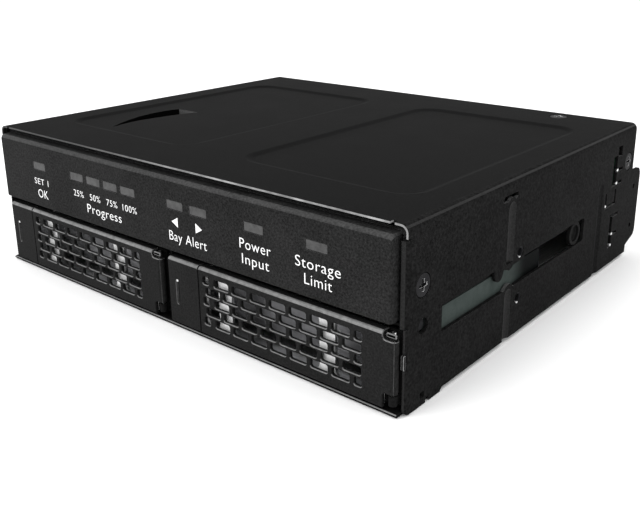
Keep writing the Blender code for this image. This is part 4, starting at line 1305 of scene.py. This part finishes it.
def mute_cap():
    """Domed cap of the mute button with a shallow finger dish."""
    x, (start, end), z = spans("mute_button")
    radius = (x[1] - x[0]) / 2
    stations = [(start, radius), (end - 0.5, radius), (end - 0.2, radius - 0.15)]
    stations += [(end, radius - 0.5), (end - 0.18, 0.5)]
    cap = make("mute_cap", turned("Y", (sum(x) / 2, sum(z) / 2), stations, 40), (), (), 0.08)
    give(cap, "mute_button_body", "bezel_plastic", BLACK_ABS, instead_of=["mute_button"])


def carried_over_nodes():
    """Finished materials for every CAD node that keeps its shape."""
    restyle(INNER_COAT, "middle_shelf", "bay_divider")
    restyle(CASE_COAT, "rear_panel")
    restyle(BOARD_GREEN, "led_board", "controller_board", "backplane_board")
    restyle(CHIP_BLACK, "controller_chip", "buzzer", "capacitor")
    restyle(CASTING, "heat_sink")
    restyle(BLACK_ABS, "board_link", "host_port_a", "host_port_b", "power_inlet")
    restyle(RIBBON, "led_cable")
    restyle(SCREW_PLATE, *[f"board_screw_{number}" for number in range(1, 5)])
    for side in SIDES:
        restyle(BOARD_GREEN, f"drive_board_{side}")
        restyle(BLACK_ABS, f"drive_connector_{side}")
        restyle(RAIL_GREY_SHADED, f"guide_rail_{side}_outer", f"guide_rail_{side}_inner")
        restyle(SCREW_PLATE, f"hinge_pin_{side}", *[f"drive_screw_{side}_{number}" for number in range(1, 5)])


# ---------------------------------------------------------------- studio

def studio():
    """Pale floor, soft lights and the camera."""
    bm = bmesh.new()
    reach = 12.0
    for x, y in ((-1, -1), (1, -1), (1, 1), (-1, 1)):
        bm.verts.new((x * reach, y * reach, -0.0002))
    bm.faces.new(bm.verts)
    mesh = bpy.data.meshes.new("studio_floor")
    bm.to_mesh(mesh)
    bm.free()
    floor = add_object("studio_floor", mesh)
    paper = surface("floor_paper", grey(0.93), 0.7, specular=0.2)
    bump(paper, [(noise(paper, 3.0, 3.0), 0.05, 0.1)])
    mesh.materials.append(paper)

    world = bpy.data.worlds.new("studio_world")
    world.use_nodes = True
    world.node_tree.nodes["Background"].inputs["Color"].default_value = (1.0, 1.0, 1.0, 1.0)
    world.node_tree.nodes["Background"].inputs["Strength"].default_value = 1.08
    scene = bpy.context.scene
    scene.world = world
    scene.view_settings.view_transform = "Standard"

    lights = (
        ("key_softbox", (-0.35, -0.65, 0.75), 0.7, 6.0),
        ("top_softbox", (0.15, 0.25, 0.9), 0.9, 2.5),
        ("side_softbox", (0.85, -0.1, 0.35), 0.5, 1.2),
    )
    for name, position, size, power in lights:
        data = bpy.data.lights.new(name, "AREA")
        data.shape = "SQUARE"
        data.size = size
        data.energy = power
        lamp = add_object(name, data)
        lamp.location = position
        aim = Vector((0.0, 0.0, 0.02)) - Vector(position)
        lamp.rotation_euler = aim.to_track_quat("-Z", "Y").to_euler()

    data = bpy.data.cameras.new("camera")
    data.sensor_width = 36.0
    data.lens = 46.3
    data.shift_x = -0.03
    data.shift_y = -0.1
    data.clip_start = 0.005
    data.clip_end = 50.0
    camera = add_object("camera", data)
    camera.location = (0.1558, -0.1832, 0.0922)
    camera.rotation_euler = [math.radians(angle) for angle in (72.61, 0.24, 39.25)]
    scene.camera = camera


outer_case()
case_screws()
thread_inserts()
slot_rings()
floor_plate()
catch_bracket()
hook_tips()
bezel()
lens_bar()
panel_print()
for side, shift in SIDES.items():
    door(side, shift)
    latch(side, shift)
    spring(side, shift)
    tray(side, shift)
    drive_casting(side)
    drive_details(side)
rear_contacts()
mute_cap()
carried_over_nodes()
studio()
